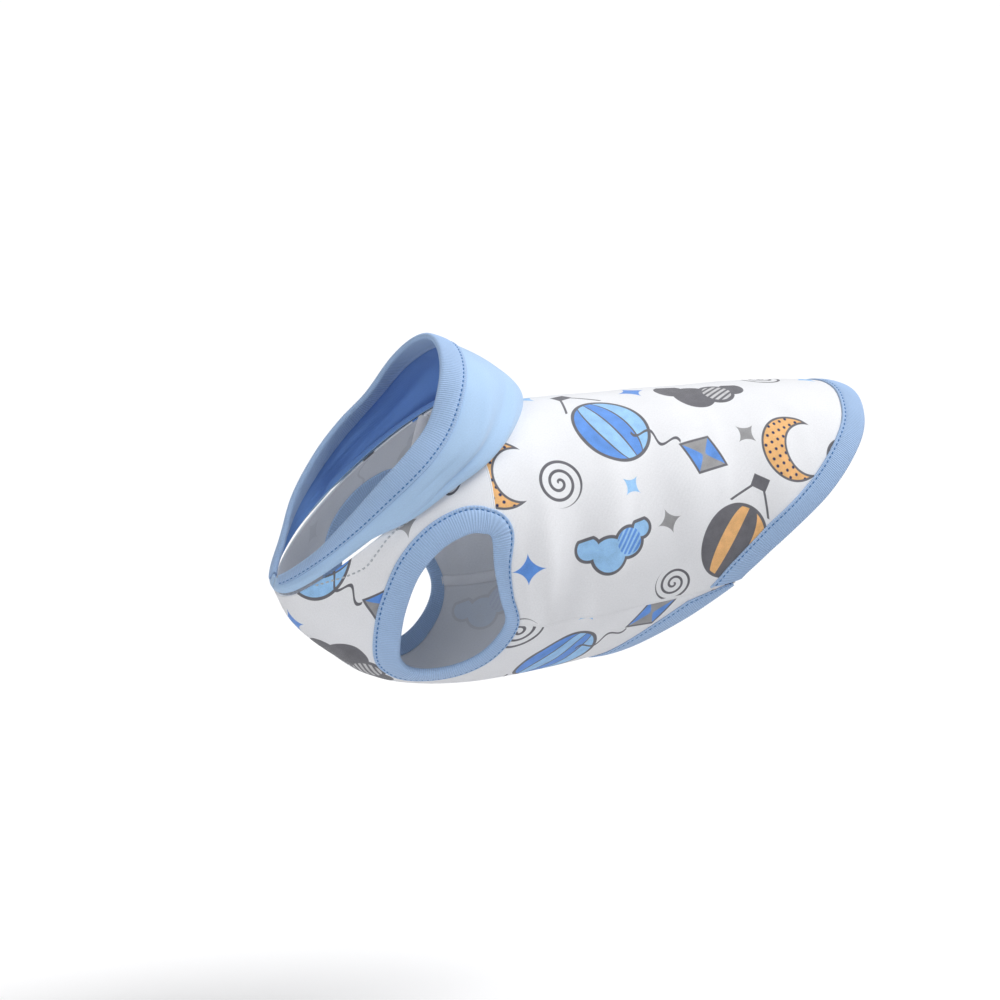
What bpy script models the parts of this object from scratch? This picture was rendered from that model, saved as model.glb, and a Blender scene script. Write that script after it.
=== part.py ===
"""Hooded sleeveless top for a small dog, in the form it has when worn.

Metres, +Z up. The wearer faces -Y, its left side is at +X, and X = 0 is the
mirror plane. The cloth lies on one drape surface given by two coordinates:
the angle around the body (0 on the back, 180 under the belly) and the station
along it, counted in rows of BODY_SECTIONS.
"""
from collections import namedtuple

import bpy
import numpy as np

# Named sizes
GARMENT_LENGTH = 0.270
CHEST_DEPTH = 0.119
CHEST_WIDTH = 0.095
HOOD_LENGTH = 0.110
HOOD_HEIGHT = 0.100
HOOD_WIDTH = 0.074
CLOTH_THICKNESS = 0.0012
BINDING_WIDTH = 0.010
BINDING_THICKNESS = 0.0008
CLEARANCE = 0.0004
SEAM_GAP = 0.0004
FOLD_DEPTH = 0.0020
ROUND_SHOULDER = 0.08

# Derived sizes
HALF_CLOTH = CLOTH_THICKNESS / 2
BAND_INSIDE = HALF_CLOTH + CLEARANCE
BAND_OUTSIDE = BAND_INSIDE + BINDING_THICKNESS
HOOD_LIFT = CLOTH_THICKNESS + CLEARANCE

# Rings of the worn body: y as shares of GARMENT_LENGTH, z as shares of
# CHEST_DEPTH, half_width as shares of CHEST_WIDTH
Section = namedtuple("Section", "top_y top_z bottom_y bottom_z half_width")
BODY_SECTIONS = (
    Section(-0.104, 0.034, -0.389, -0.580, 0.347),
    Section(-0.074, 0.022, -0.361, -0.702, 0.400),
    Section(-0.041, 0.009, -0.307, -0.815, 0.453),
    Section(0.000, 0.000, -0.230, -0.926, 0.489),
    Section(0.081, 0.000, -0.107, -0.972, 0.500),
    Section(0.185, 0.000, 0.044, -0.955, 0.495),
    Section(0.315, 0.000, 0.222, -0.900, 0.484),
    Section(0.444, -0.004, 0.400, -0.828, 0.463),
    Section(0.548, -0.025, 0.541, -0.782, 0.432),
    Section(0.637, -0.084, 0.644, -0.773, 0.379),
)

# Soft folds of the body: station at 90 degrees, lean in stations per radian,
# width in stations, depth as a share of FOLD_DEPTH, middle angle, spread
Fold = namedtuple("Fold", "station lean width depth angle spread")
BODY_FOLDS = (
    Fold(3.05, 1.30, 0.32, -1.80, 107, 21),
    Fold(3.92, 0.90, 0.20, 0.95, 96, 34),
    Fold(4.38, 0.70, 0.22, -0.70, 98, 36),
    Fold(4.80, 0.45, 0.20, 0.60, 78, 42),
    Fold(5.32, 0.40, 0.22, -0.45, 72, 44),
    Fold(5.78, 0.35, 0.22, 0.50, 68, 44),
    Fold(6.30, 0.30, 0.22, -0.40, 66, 42),
    Fold(6.80, 0.25, 0.22, 0.40, 62, 40),
    Fold(0.90, 0.50, 0.30, 0.60, 128, 26),
)

# Edges on the drape surface: angle in degrees, station
Corner = namedtuple("Corner", "angle station")
NECKLINE = (
    Corner(180, 0.12),
    Corner(160, 0.16),
    Corner(135, 0.16),
    Corner(110, 0.24),
    Corner(86, 0.46),
    Corner(62, 0.76),
    Corner(40, 1.00),
    Corner(20, 1.08),
    Corner(0, 1.10),
)
NECKLINE_SHOULDER_ROW = 6
SHOULDER_SEAM = (
    Corner(40, 1.00),
    Corner(55, 1.88),
    Corner(70, 2.56),
    Corner(80, 2.86),
)
ARMHOLE = (
    Corner(80, 2.86),
    Corner(79, 2.56),
    Corner(82, 2.18),
    Corner(91, 1.83),
    Corner(104, 1.77),
    Corner(119, 2.04),
    Corner(133, 2.42),
    Corner(145, 2.80),
    Corner(149, 3.18),
    Corner(143, 3.58),
    Corner(130, 3.85),
    Corner(117, 3.86),
    Corner(105, 3.58),
    Corner(92, 3.22),
)
ARMHOLE_SIDE_ROW = 11
CHEST_CENTRE = (Corner(180, 5.62), Corner(180, 4.50), NECKLINE[0])
BACK_HEM = (
    Corner(0, 8.38),
    Corner(16, 8.35),
    Corner(31, 8.24),
    Corner(47, 8.06),
    Corner(62, 7.78),
    Corner(81, 7.33),
    Corner(98, 6.83),
    Corner(112, 6.53),
    Corner(119, 6.42),
)
BELLY_HEM = (
    Corner(180, 5.62),
    Corner(163, 5.67),
    Corner(147, 5.84),
    Corner(131, 6.14),
    Corner(119, 6.42),
)

# Hood rows from the throat to the nape. The face edge: x as shares of
# HOOD_WIDTH, y of HOOD_LENGTH, z of HOOD_HEIGHT. The droop over the neckline:
# angle and station of its lower edge, and lift in cloths. The bulges of the
# lower and upper outer cloth: shares of HOOD_WIDTH.
HoodRow = namedtuple(
    "HoodRow", "x y z neck_angle droop_angle droop_station lift lower upper"
)
HOOD_ROWS = (
    HoodRow(0.000, -0.955, -0.640, 180, 180, -0.10, 0.1, 0.00, 0.00),
    HoodRow(0.235, -0.865, -0.525, 137, 136, -0.06, 0.6, 0.00, 0.01),
    HoodRow(0.392, -0.780, -0.380, 111, 109, 0.06, 2.0, 0.02, 0.02),
    HoodRow(0.473, -0.668, -0.225, 90, 87, 0.76, 3.2, 0.05, 0.05),
    HoodRow(0.500, -0.562, -0.102, 74, 70, 1.26, 2.8, 0.07, 0.10),
    HoodRow(0.460, -0.462, 0.014, 57, 53, 2.00, 2.8, 0.08, 0.13),
    HoodRow(0.355, -0.388, 0.165, 40, 36, 2.66, 3.0, 0.07, 0.11),
    HoodRow(0.195, -0.345, 0.262, 20, 18, 3.14, 3.1, 0.06, 0.07),
    HoodRow(0.000, -0.330, 0.300, 0, 0, 3.28, 3.1, 0.06, 0.05),
)
LAST_HOOD_ROW = len(HOOD_ROWS) - 1
CROWN_ROW = 4.5
RISE_SHARE = 0.33
UNDER_SHARE = 0.66
UNDER_LIFT = 0.66
RISE_AHEAD = 0.35
FULL_DROOP = 0.30
HOOD_KNOTS = (0, 0, 0, 0, 0.25, 0.5, 0.75, 1, 1, 1, 1)
LOWER_SHARE = 0.30
UPPER_SHARE = 0.62
FLARE = 1.3
HOOD_BAND_START = 0.20
BAND_HEIGHT_SHARE = 0.55
CORNER_BAND_WIDTH = 0.0015
CORNER_SHARE = 0.7
END_INSET = 0.25

# Corners of a band cross-section joined at its open ends
BAND_CAP = (
    (0, 1, 12, 13),
    (1, 2, 11, 12),
    (2, 3, 11),
    (3, 4, 10, 11),
    (4, 5, 10),
    (5, 6, 9, 10),
    (6, 7, 8, 9),
)

# Mesh steps
BACK_NECK_STEPS = 6
SHOULDER_STEPS = 7
ARMHOLE_REAR_STEPS = 8
BACK_ROWS = (0.0, 0.035, 0.07, 0.12, 0.18, 0.25, 0.33, 0.41, 0.50, 0.59, 0.68, 0.77, 0.86, 0.94, 1.0)
SIDE_SEAM_STEPS = 9
ARMHOLE_FRONT_STEPS = 24
CHEST_CENTRE_STEPS = 9
CHEST_COLUMNS = (0.0, 0.10, 0.21, 0.33, 0.46, 0.59, 0.72, 0.83, 0.92, 1.0)
HOOD_FRONT_STEPS = 10
HOOD_CROWN_STEPS = 13
HOOD_COLUMNS = (0.0, 0.09, 0.18, 0.27, 0.36, 0.45, 0.55, 0.66, 0.77, 0.86, 0.925, 0.967, 1.0)
BLEND_ROWS = 6
WALK_STEPS = 4
SEAM_PROBE = 0.05
SHOULDER_GAP_SHARE = 0.6
MIRROR_REACH = 1e-6
DIFFERENCE = 1e-4


def table(rows):
    """Rows of a named table as an array, angles in degrees turned to radians."""
    values = np.array([tuple(row) for row in rows], dtype=float)
    if isinstance(rows[0], Corner):
        values[:, 0] = np.radians(values[:, 0])
    return values


def through_rows(rows, position, before=None, after=None):
    """Smooth curve that passes through every row, position counted in rows."""
    first = 2 * rows[0] - rows[1] if before is None else before
    last = 2 * rows[-1] - rows[-2] if after is None else after
    padded = np.concatenate([first[None], rows, last[None]])
    position = np.asarray(position, dtype=float)
    row = np.clip(np.floor(position).astype(int), 0, len(rows) - 2)
    t = (position - row).reshape(position.shape + (1,) * (rows.ndim - 1))
    p0, p1, p2, p3 = (padded[row + shift] for shift in range(4))
    linear = p2 - p0
    square = 2 * p0 - 5 * p1 + 4 * p2 - p3
    cubic = -p0 + 3 * p1 - 3 * p2 + p3
    return p1 + 0.5 * (linear * t + square * t**2 + cubic * t**3)


def unit(vectors):
    """Vectors scaled to length one."""
    return vectors / np.linalg.norm(vectors, axis=-1, keepdims=True)


def body_ring(angle, station):
    """Point of the smooth body: an egg-shaped ring at each station."""
    scale = (GARMENT_LENGTH, CHEST_DEPTH, GARMENT_LENGTH, CHEST_DEPTH, CHEST_WIDTH)
    ring = through_rows(table(BODY_SECTIONS) * scale, station)
    top_y, top_z, bottom_y, bottom_z, half_width = np.moveaxis(ring, -1, 0)
    cosine = np.cos(angle)
    x = half_width * np.sin(angle) * (1 + ROUND_SHOULDER * cosine)
    y = (top_y + bottom_y) / 2 + cosine * (top_y - bottom_y) / 2
    z = (top_z + bottom_z) / 2 + cosine * (top_z - bottom_z) / 2
    return np.stack([x, y, z], axis=-1)


def partials(surface, a, b):
    """Numeric slopes of a surface along its two coordinates."""
    along_a = surface(a + DIFFERENCE, b) - surface(a - DIFFERENCE, b)
    along_b = surface(a, b + DIFFERENCE) - surface(a, b - DIFFERENCE)
    return along_a / (2 * DIFFERENCE), along_b / (2 * DIFFERENCE)


def normal(surface, a, b):
    """Outward unit normal of a surface."""
    along_a, along_b = partials(surface, a, b)
    return unit(np.cross(along_a, along_b))


def fold_height(angle, station):
    """Sum of the soft folds, each a smooth ridge or hollow across the body."""
    height = np.zeros(np.broadcast(angle, station).shape)
    for fold in BODY_FOLDS:
        middle = fold.station + fold.lean * (np.abs(angle) - np.pi / 2)
        across = np.exp(-(((station - middle) / fold.width) ** 2))
        around = (np.degrees(np.abs(angle)) - fold.angle) / fold.spread
        height += FOLD_DEPTH * fold.depth * across * np.exp(-(around**2))
    return height


def drape(angle, station, lift=0.0):
    """Middle of the cloth on the body, with its folds, raised by lift."""
    angle, station = np.broadcast_arrays(
        np.asarray(angle, dtype=float), np.asarray(station, dtype=float)
    )
    raised = fold_height(angle, station) + lift
    outward = normal(body_ring, angle, station)
    return body_ring(angle, station) + raised[..., None] * outward


def neck_station(angle):
    """Station of the neckline at an angle around the body."""
    path = through_rows(table(NECKLINE), np.linspace(0, len(NECKLINE) - 1, 400))
    return np.interp(-np.abs(angle), -path[:, 0], path[:, 1])


def hood_controls(row):
    """Seven control points of the hood at a row: from the neckline up past the
    edge of the body cloth, back under the droop, round its lower edge and up
    the outer cloth to the face edge."""
    rows = np.array([tuple(values) for values in HOOD_ROWS], dtype=float)
    rows[:, 3:5] = np.radians(rows[:, 3:5])
    below, above = rows[1].copy(), rows[-2].copy()
    below[[0, 3, 4]] = -below[0], 2 * np.pi - below[3], 2 * np.pi - below[4]
    above[[0, 3, 4]] *= -1
    values = through_rows(rows, row, below, above)
    neck_angle, droop_angle, droop_station = np.moveaxis(values[..., 3:6], -1, 0)
    lift, lower_bulge, upper_bulge = np.moveaxis(values[..., 6:9], -1, 0)
    lift = lift * CLOTH_THICKNESS
    face = values[..., 0:3] * (HOOD_WIDTH, HOOD_LENGTH, HOOD_HEIGHT)
    station = neck_station(neck_angle)
    ahead = -unit(partials(body_ring, neck_angle, station)[1])
    away = normal(body_ring, neck_angle, station)
    neck = drape(neck_angle, station) + ahead * HOOD_LIFT
    droop = drape(droop_angle, droop_station, lift)
    drooping = np.clip((droop_station - station) / FULL_DROOP, 0, 1)[..., None]
    forward = ahead * (lift * RISE_AHEAD)[..., None] + away * lift[..., None]
    rise = neck + (droop - neck) * RISE_SHARE * (1 - drooping) + forward * drooping
    middle_angle = (neck_angle + droop_angle) / 2
    pressed = drape(middle_angle, (station + droop_station) / 2, lift * UNDER_LIFT)
    under = neck + (droop - neck) * UNDER_SHARE
    under = under + (pressed - under) * drooping
    outward = normal(body_ring, droop_angle, droop_station) * HOOD_WIDTH
    flare = np.minimum(neck_angle * FLARE, np.pi / 2)
    sideways = np.stack([np.sin(flare), np.zeros_like(flare), np.cos(flare)], axis=-1)
    lower = droop + (face - droop) * LOWER_SHARE + outward * lower_bulge[..., None]
    upper = droop + (face - droop) * UPPER_SHARE
    upper = upper + sideways * HOOD_WIDTH * upper_bulge[..., None]
    return np.stack([neck, rise, under, droop, lower, upper, face], axis=-2)


def spline_weights(t, knots):
    """Weights of a clamped cubic B-spline, by the usual recurrence."""
    t = np.minimum(t, 1 - 1e-12)[..., None]
    knots = np.array(knots)
    weights = ((t >= knots[:-1]) & (t < knots[1:])).astype(float)
    for degree in (1, 2, 3):
        left = knots[degree:-1] - knots[: -degree - 1]
        right = knots[degree + 1:] - knots[1:-degree]
        rising = (t - knots[: -degree - 1]) / np.where(left > 0, left, 1)
        falling = (knots[degree + 1:] - t) / np.where(right > 0, right, 1)
        kept = np.where(left > 0, rising, 0) * weights[..., :-1]
        weights = kept + np.where(right > 0, falling, 0) * weights[..., 1:]
    return weights


def hood_surface(row, across):
    """Middle of the left hood cloth: in each row a cubic B-spline over the
    control points, from the neckline at 0 to the face edge at 1."""
    row, across = np.broadcast_arrays(
        np.asarray(row, dtype=float), np.asarray(across, dtype=float)
    )
    points = hood_controls(row)
    inner = np.clip(across, 0, 1)
    inside = np.einsum("...k,...kc->...c", spline_weights(inner, HOOD_KNOTS), points)
    slope = 3 / (1 - HOOD_KNOTS[-5]) * (points[..., -1, :] - points[..., -2, :])
    return inside + (across - inner)[..., None] * slope


def sample(rows, shares, first=0, last=None, closed=False):
    """Points of an edge between two of its rows, at shares of its length."""
    last = len(rows) - 1 if last is None else last
    corners = table(rows)
    ends = (corners[-2], corners[1]) if closed else (None, None)
    dense = np.linspace(first, last, 400)
    path = through_rows(corners, dense, *ends)
    points = drape(path[:, 0], path[:, 1])
    pieces = np.linalg.norm(np.diff(points, axis=0), axis=1)
    length = np.concatenate([[0], np.cumsum(pieces)])
    wanted = np.interp(np.asarray(shares) * length[-1], length, dense)
    return through_rows(corners, wanted, *ends)


def even(steps):
    """Even shares from zero to one."""
    return np.linspace(0, 1, steps + 1)


def armhole_front():
    """Armhole edge of the chest panel, shoulder to side seam."""
    loop = ARMHOLE + ARMHOLE[:1]
    return sample(loop, even(ARMHOLE_FRONT_STEPS), last=ARMHOLE_SIDE_ROW, closed=True)


def armhole_rear():
    """Armhole edge of the back panel, side seam to shoulder."""
    loop = ARMHOLE + ARMHOLE[:1]
    return sample(loop, even(ARMHOLE_REAR_STEPS), first=ARMHOLE_SIDE_ROW, closed=True)


def side_gap():
    """Angle that half a seam gap takes at the side of the body."""
    return SEAM_GAP / CHEST_WIDTH


def station_gap(edge):
    """Stations that a seam gap takes at each point of an edge."""
    along = partials(body_ring, edge[:, 0], edge[:, 1])[1]
    return SEAM_GAP / np.linalg.norm(along, axis=1)


def back_hem_edge():
    """Half the cloth edge of the tail hem, centre to side seam."""
    steps = BACK_NECK_STEPS + SHOULDER_STEPS + ARMHOLE_REAR_STEPS
    hem = sample(BACK_HEM, even(steps))
    hem[:, 0] -= side_gap() * even(steps) ** 8
    return hem


def belly_hem_edge(shares):
    """Half the cloth edge of the belly hem, centre to side seam."""
    hem = sample(BELLY_HEM, shares)
    hem[:, 0] += side_gap() * np.asarray(shares) ** 8
    return hem


def make_material(name, colour, roughness):
    """Plain cloth material."""
    material = bpy.data.materials.new(name)
    material.use_nodes = True
    shader = material.node_tree.nodes["Principled BSDF"]
    shader.inputs["Base Color"].default_value = (*colour, 1.0)
    shader.inputs["Roughness"].default_value = roughness
    shader.inputs["Metallic"].default_value = 0.0
    return material


def white_jersey():
    """White cotton jersey of the body."""
    return make_material("white_jersey", (0.86, 0.87, 0.90), 0.85)


def blue_jersey():
    """Light blue cotton jersey of the hood."""
    return make_material("blue_jersey", (0.42, 0.60, 0.86), 0.85)


def blue_rib():
    """Light blue rib knit of the bindings."""
    return make_material("blue_rib", (0.44, 0.61, 0.84), 0.9)


def make_object(name, points, faces, material, collection):
    """Mesh object in its collection with its material, shaded smooth."""
    mesh = bpy.data.meshes.new(name)
    mesh.from_pydata([tuple(point) for point in points], [], faces)
    mesh.materials.append(material)
    mesh.shade_smooth()
    mesh.set_sharp_from_angle(angle=np.radians(50))
    new_object = bpy.data.objects.new(name, mesh)
    collection.objects.link(new_object)
    return new_object


def grid_faces(rows, columns):
    """Quads of a grid of rows by columns of points."""
    corner = np.arange(rows * columns).reshape(rows, columns)
    quads = np.stack(
        [corner[:-1, :-1], corner[1:, :-1], corner[1:, 1:], corner[:-1, 1:]], axis=-1
    )
    return quads.reshape(-1, 4).tolist()


def add_wall(cloth):
    """Give open cloth its thickness, half to each side."""
    wall = cloth.modifiers.new("wall", "SOLIDIFY")
    wall.thickness = CLOTH_THICKNESS
    wall.offset = 0.0
    wall.use_rim = True


def add_mirror(cloth):
    """Add the other half of the body across X = 0."""
    mirror = cloth.modifiers.new("mirror", "MIRROR")
    mirror.use_axis = (True, False, False)
    mirror.merge_threshold = 0.00005


def ruled(start, end, shares):
    """Grid of drape coordinates, straight from one edge to the other."""
    return start[:, None] + (end - start)[:, None] * np.asarray(shares)[None, :, None]


def bend_to(domain, edge):
    """Move the first row of the grid onto an edge, fading over some rows."""
    fade = np.clip(1 - np.arange(len(domain)) / BLEND_ROWS, 0, 1)
    return domain + fade[:, None, None] * (edge - domain[0])[None]


def make_panel(name, domain, material, collection):
    """Half a panel of body cloth from its grid, mirrored and given a wall."""
    points = drape(domain[..., 0], domain[..., 1])
    on_mirror = np.abs(np.sin(domain[..., 0])) < 1e-6
    points[..., 0] = np.where(on_mirror, 0.0, points[..., 0])
    faces = grid_faces(*domain.shape[:2])
    panel = make_object(name, points.reshape(-1, 3), faces, material, collection)
    add_mirror(panel)
    add_wall(panel)
    return panel


def build_back_panel(material, collection):
    """Printed cloth of the back, neckline to curved tail hem."""
    neckline = NECKLINE[::-1]
    shoulder_row = len(NECKLINE) - 1 - NECKLINE_SHOULDER_ROW
    neck = sample(neckline, even(BACK_NECK_STEPS), last=shoulder_row)
    shoulder = sample(SHOULDER_SEAM, even(SHOULDER_STEPS))
    shoulder[:, 1] += station_gap(shoulder) * SHOULDER_GAP_SHARE
    rear = armhole_rear()[::-1]
    front = np.concatenate([neck[:-1], shoulder, rear[1:]])
    hem = back_hem_edge()
    front[:, 0] -= side_gap() * even(len(front) - 1) ** 8
    domain = ruled(front, hem, BACK_ROWS)
    return make_panel("back_panel", domain, material, collection)


def build_chest_panel(material, collection):
    """Printed cloth of chest and belly, up over each shoulder."""
    side = sample((BELLY_HEM[-1], ARMHOLE[ARMHOLE_SIDE_ROW]), even(SIDE_SEAM_STEPS))
    side[:, 0] += side_gap()
    outer = np.concatenate([side, armhole_front()[::-1][1:]])
    belly = sample(CHEST_CENTRE, even(SIDE_SEAM_STEPS), last=1)
    breast = sample(CHEST_CENTRE, even(CHEST_CENTRE_STEPS), first=1)
    neck_steps = ARMHOLE_FRONT_STEPS - CHEST_CENTRE_STEPS
    neck = sample(NECKLINE, even(neck_steps), last=NECKLINE_SHOULDER_ROW)
    inner = np.concatenate([belly, breast[1:], neck[1:]])
    domain = ruled(inner, outer, CHEST_COLUMNS)
    shoulder = sample(SHOULDER_SEAM, CHEST_COLUMNS)
    shoulder[:, 1] -= station_gap(shoulder) * SHOULDER_GAP_SHARE
    domain = bend_to(domain, belly_hem_edge(CHEST_COLUMNS))
    domain = bend_to(domain[::-1], shoulder)[::-1]
    return make_panel("chest_panel", domain, material, collection)


def hood_row_places():
    """Places of the mesh rows of the hood, closer together over the crown."""
    front = np.linspace(HOOD_BAND_START, CROWN_ROW, HOOD_FRONT_STEPS)
    crown = np.linspace(CROWN_ROW, LAST_HOOD_ROW, HOOD_CROWN_STEPS + 1)
    return np.concatenate([[0], front, crown[1:]])


def build_hood(name, side, material, collection):
    """One half of the hood, from the neckline round the droop to the face."""
    row = hood_row_places()[:, None]
    across = np.array(HOOD_COLUMNS)[None]
    points = hood_surface(row, across)
    points[..., 0] = (np.abs(points[..., 0]) + SEAM_GAP / 2) * side
    faces = grid_faces(*points.shape[:2])
    hood = make_object(name, points.reshape(-1, 3), faces, material, collection)
    add_wall(hood)
    return hood


def walk(surface, place, along, distance, lean):
    """Coordinates at a distance inward from an edge, square to it or leaning
    along it, reached in short straight steps on the surface."""
    place = place.copy()
    for _ in range(WALK_STEPS):
        slope_a, slope_b = partials(surface, place[:, 0], place[:, 1])
        outward = unit(np.cross(slope_a, slope_b))
        inward = np.cross(along, outward) + lean[:, None] * along
        aa, ab, bb = (np.sum(p * q, axis=1) for p, q in
                      ((slope_a, slope_a), (slope_a, slope_b), (slope_b, slope_b)))
        ra, rb = np.sum(slope_a * inward, axis=1), np.sum(slope_b * inward, axis=1)
        scale = (distance / WALK_STEPS / (aa * bb - ab**2))[:, None]
        place += scale * np.stack([ra * bb - rb * ab, rb * aa - ra * ab], axis=1)
    return place


def edge_directions(points, closed):
    """Unit directions along a row of points; an edge that ends on the mirror
    plane crosses it square."""
    if closed:
        return unit(np.roll(points, -1, axis=0) - np.roll(points, 1, axis=0))
    along = np.gradient(points, axis=0)
    on_mirror = np.abs(points[:, 0:1]) < MIRROR_REACH
    return unit(np.where(on_mirror, along * (1.0, 0.0, 0.0), along))


def band_rings(surface, edge, width, closed=False, lean=None):
    """Cross-sections of a folded band round an edge: outer cloth from its
    stitched edge, round the fold and back inside, then the slot for the cloth."""
    lean = np.zeros(len(edge)) if lean is None else lean
    width = np.broadcast_to(width, len(edge))
    along = edge_directions(surface(edge[:, 0], edge[:, 1]), closed)
    across = {}
    for share in (0.0, 0.5, 1.0):
        place = walk(surface, edge, along, width * share, lean)
        middle = surface(place[:, 0], place[:, 1])
        across[share] = (middle, normal(surface, place[:, 0], place[:, 1]))
    middle, outward = across[0.0]
    inward = np.cross(along, outward) + lean[:, None] * along
    slot = (middle - inward * CLEARANCE, outward)
    fold = (middle - inward * (CLEARANCE + BINDING_THICKNESS), outward)
    profile = (
        (across[1.0], BAND_OUTSIDE), (across[0.5], BAND_OUTSIDE), (slot, BAND_OUTSIDE),
        (fold, HALF_CLOTH), (fold, -HALF_CLOTH),
        (slot, -BAND_OUTSIDE), (across[0.5], -BAND_OUTSIDE), (across[1.0], -BAND_OUTSIDE),
        (across[1.0], -BAND_INSIDE), (across[0.5], -BAND_INSIDE), (slot, -BAND_INSIDE),
        (slot, BAND_INSIDE), (across[0.5], BAND_INSIDE), (across[1.0], BAND_INSIDE),
    )
    return np.stack([at + height * away for (at, away), height in profile], axis=1)


def make_band(name, rings, closed, material, collection):
    """Solid band from its cross-sections, capped where it is open."""
    count, size = rings.shape[:2]
    ring = np.arange(count * size).reshape(count, size)
    following = np.roll(ring, -1, axis=0) if closed else ring[1:]
    ring_start = ring if closed else ring[:-1]
    quads = np.stack(
        [ring_start, following, np.roll(following, -1, axis=1), np.roll(ring_start, -1, axis=1)],
        axis=-1,
    )
    faces = quads.reshape(-1, 4).tolist()
    if not closed:
        for cap in BAND_CAP:
            faces.append([int(ring[0, corner]) for corner in cap])
            faces.append([int(ring[-1, corner]) for corner in reversed(cap)])
    return make_object(name, rings.reshape(-1, 3), faces, material, collection)


def build_armhole_binding(name, side, material, collection):
    """Closed rib band round one armhole."""
    edge = np.concatenate([armhole_front()[:-1], armhole_rear()[:-1]])
    rings = band_rings(drape, edge, BINDING_WIDTH, closed=True)
    if side < 0:
        rings = rings[::-1] * (-1.0, 1.0, 1.0)
    return make_band(name, rings, True, material, collection)


def inset_end(edge):
    """Hem edge with its side seam end drawn back, so that the bands part."""
    edge = edge.copy()
    edge[-1] += (edge[-2] - edge[-1]) * END_INSET
    return edge


def seam_slopes(edge, corner):
    """At a hem corner, how far the side seam runs along the hem and square to
    it, and the distance of every edge point from that corner."""
    points = drape(edge[:, 0], edge[:, 1])
    along = edge_directions(points, False)[corner]
    square = np.cross(along, normal(drape, *edge[corner]))
    seam_ends = table((BACK_HEM[-1], ARMHOLE[ARMHOLE_SIDE_ROW]))
    forward = edge[corner] + (seam_ends[1] - seam_ends[0]) * SEAM_PROBE
    seam = unit(drape(*forward) - points[corner])
    left = np.linalg.norm(points - points[corner], axis=1)
    return np.dot(seam, along), np.dot(seam, square), left


def build_back_hem(material, collection):
    """Rib band along the tail hem, from one side seam to the other."""
    edge = inset_end(back_hem_edge())
    along, square, left = seam_slopes(edge, -1)
    lean = along / square * np.exp(-left / BINDING_WIDTH)
    half = band_rings(drape, edge, BINDING_WIDTH, lean=lean)
    half[0, :, 0] = 0.0
    rings = np.concatenate([half[::-1] * (-1.0, 1.0, 1.0), half[1:]])
    return make_band("hem_binding_back", rings, False, material, collection)


def build_belly_hem(material, collection):
    """Rib band along the belly hem, from one side seam to the other."""
    edge = inset_end(belly_hem_edge(CHEST_COLUMNS))[::-1]
    along, square, left = seam_slopes(edge, 0)
    room = CORNER_BAND_WIDTH + left * abs(square / along) * CORNER_SHARE
    half = band_rings(drape, edge, np.minimum(BINDING_WIDTH, room))
    half[-1, :, 0] = 0.0
    rings = np.concatenate([half, half[::-1][1:] * (-1.0, 1.0, 1.0)])
    return make_band("hem_binding_belly", rings, False, material, collection)


def build_hood_binding(material, collection):
    """Rib band over the face edge of the hood, throat to throat."""
    row = hood_row_places()[1:]
    edge = np.stack([row, np.ones(len(row))], axis=1)
    height = np.linalg.norm(hood_surface(row, 1.0) - hood_surface(row, 0.0), axis=1)
    width = np.minimum(BINDING_WIDTH, height * BAND_HEIGHT_SHARE)
    half = band_rings(hood_surface, edge, width)
    half[..., 0] += SEAM_GAP / 2
    half[-1, :, 0] = 0.0
    rings = np.concatenate([half, half[::-1][1:] * (-1.0, 1.0, 1.0)])
    return make_band("hood_binding", rings, False, material, collection)


def clear_scene():
    """Remove whatever the file held before."""
    for old in list(bpy.data.objects):
        bpy.data.objects.remove(old, do_unlink=True)


def main():
    """Build every piece in one collection."""
    clear_scene()
    collection = bpy.data.collections.new("hooded_dog_top")
    bpy.context.scene.collection.children.link(collection)
    white = white_jersey()
    blue = blue_jersey()
    rib = blue_rib()
    build_back_panel(white, collection)
    build_chest_panel(white, collection)
    build_hood("hood_left", 1, blue, collection)
    build_hood("hood_right", -1, blue, collection)
    build_hood_binding(rib, collection)
    build_armhole_binding("armhole_binding_left", 1, rib, collection)
    build_armhole_binding("armhole_binding_right", -1, rib, collection)
    build_back_hem(rib, collection)
    build_belly_hem(rib, collection)


main()
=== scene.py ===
"""Looks of a hooded sleeveless top for a small dog, in the form it has when worn.

Metres, +Z up. The wearer faces -Y, its left side is at +X, and X = 0 is the
mirror plane. The cloth lies on one drape surface given by two coordinates:
the angle around the body (0 on the back, 180 under the belly) and the station
along it, counted in rows of BODY_SECTIONS.
"""
from collections import namedtuple

import bpy
import numpy as np
from bpy.props import FloatProperty, FloatVectorProperty, IntProperty, PointerProperty
from bpy.types import Operator, Panel, PropertyGroup
from mathutils import Matrix, Vector


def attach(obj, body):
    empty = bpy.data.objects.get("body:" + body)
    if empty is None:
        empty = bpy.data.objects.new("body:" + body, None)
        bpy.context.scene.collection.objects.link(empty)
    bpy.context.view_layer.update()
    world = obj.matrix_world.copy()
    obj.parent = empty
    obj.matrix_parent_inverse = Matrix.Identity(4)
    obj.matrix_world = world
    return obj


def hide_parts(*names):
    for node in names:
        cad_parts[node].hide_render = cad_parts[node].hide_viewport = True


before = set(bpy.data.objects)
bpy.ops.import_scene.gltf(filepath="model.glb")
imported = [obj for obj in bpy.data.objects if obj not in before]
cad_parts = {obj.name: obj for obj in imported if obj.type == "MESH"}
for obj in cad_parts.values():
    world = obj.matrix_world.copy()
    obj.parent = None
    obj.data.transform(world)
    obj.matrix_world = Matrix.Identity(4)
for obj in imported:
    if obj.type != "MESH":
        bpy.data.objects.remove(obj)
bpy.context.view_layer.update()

bl_info = {
    "name": "Hooded Dog Top",
    "version": (1, 0, 0),
    "blender": (4, 5, 0),
    "location": "View3D > Sidebar > Dog Top",
    "description": "Builds the cloth, bindings, seams and stitches of a hooded dog top",
    "category": "Object",
}

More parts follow.
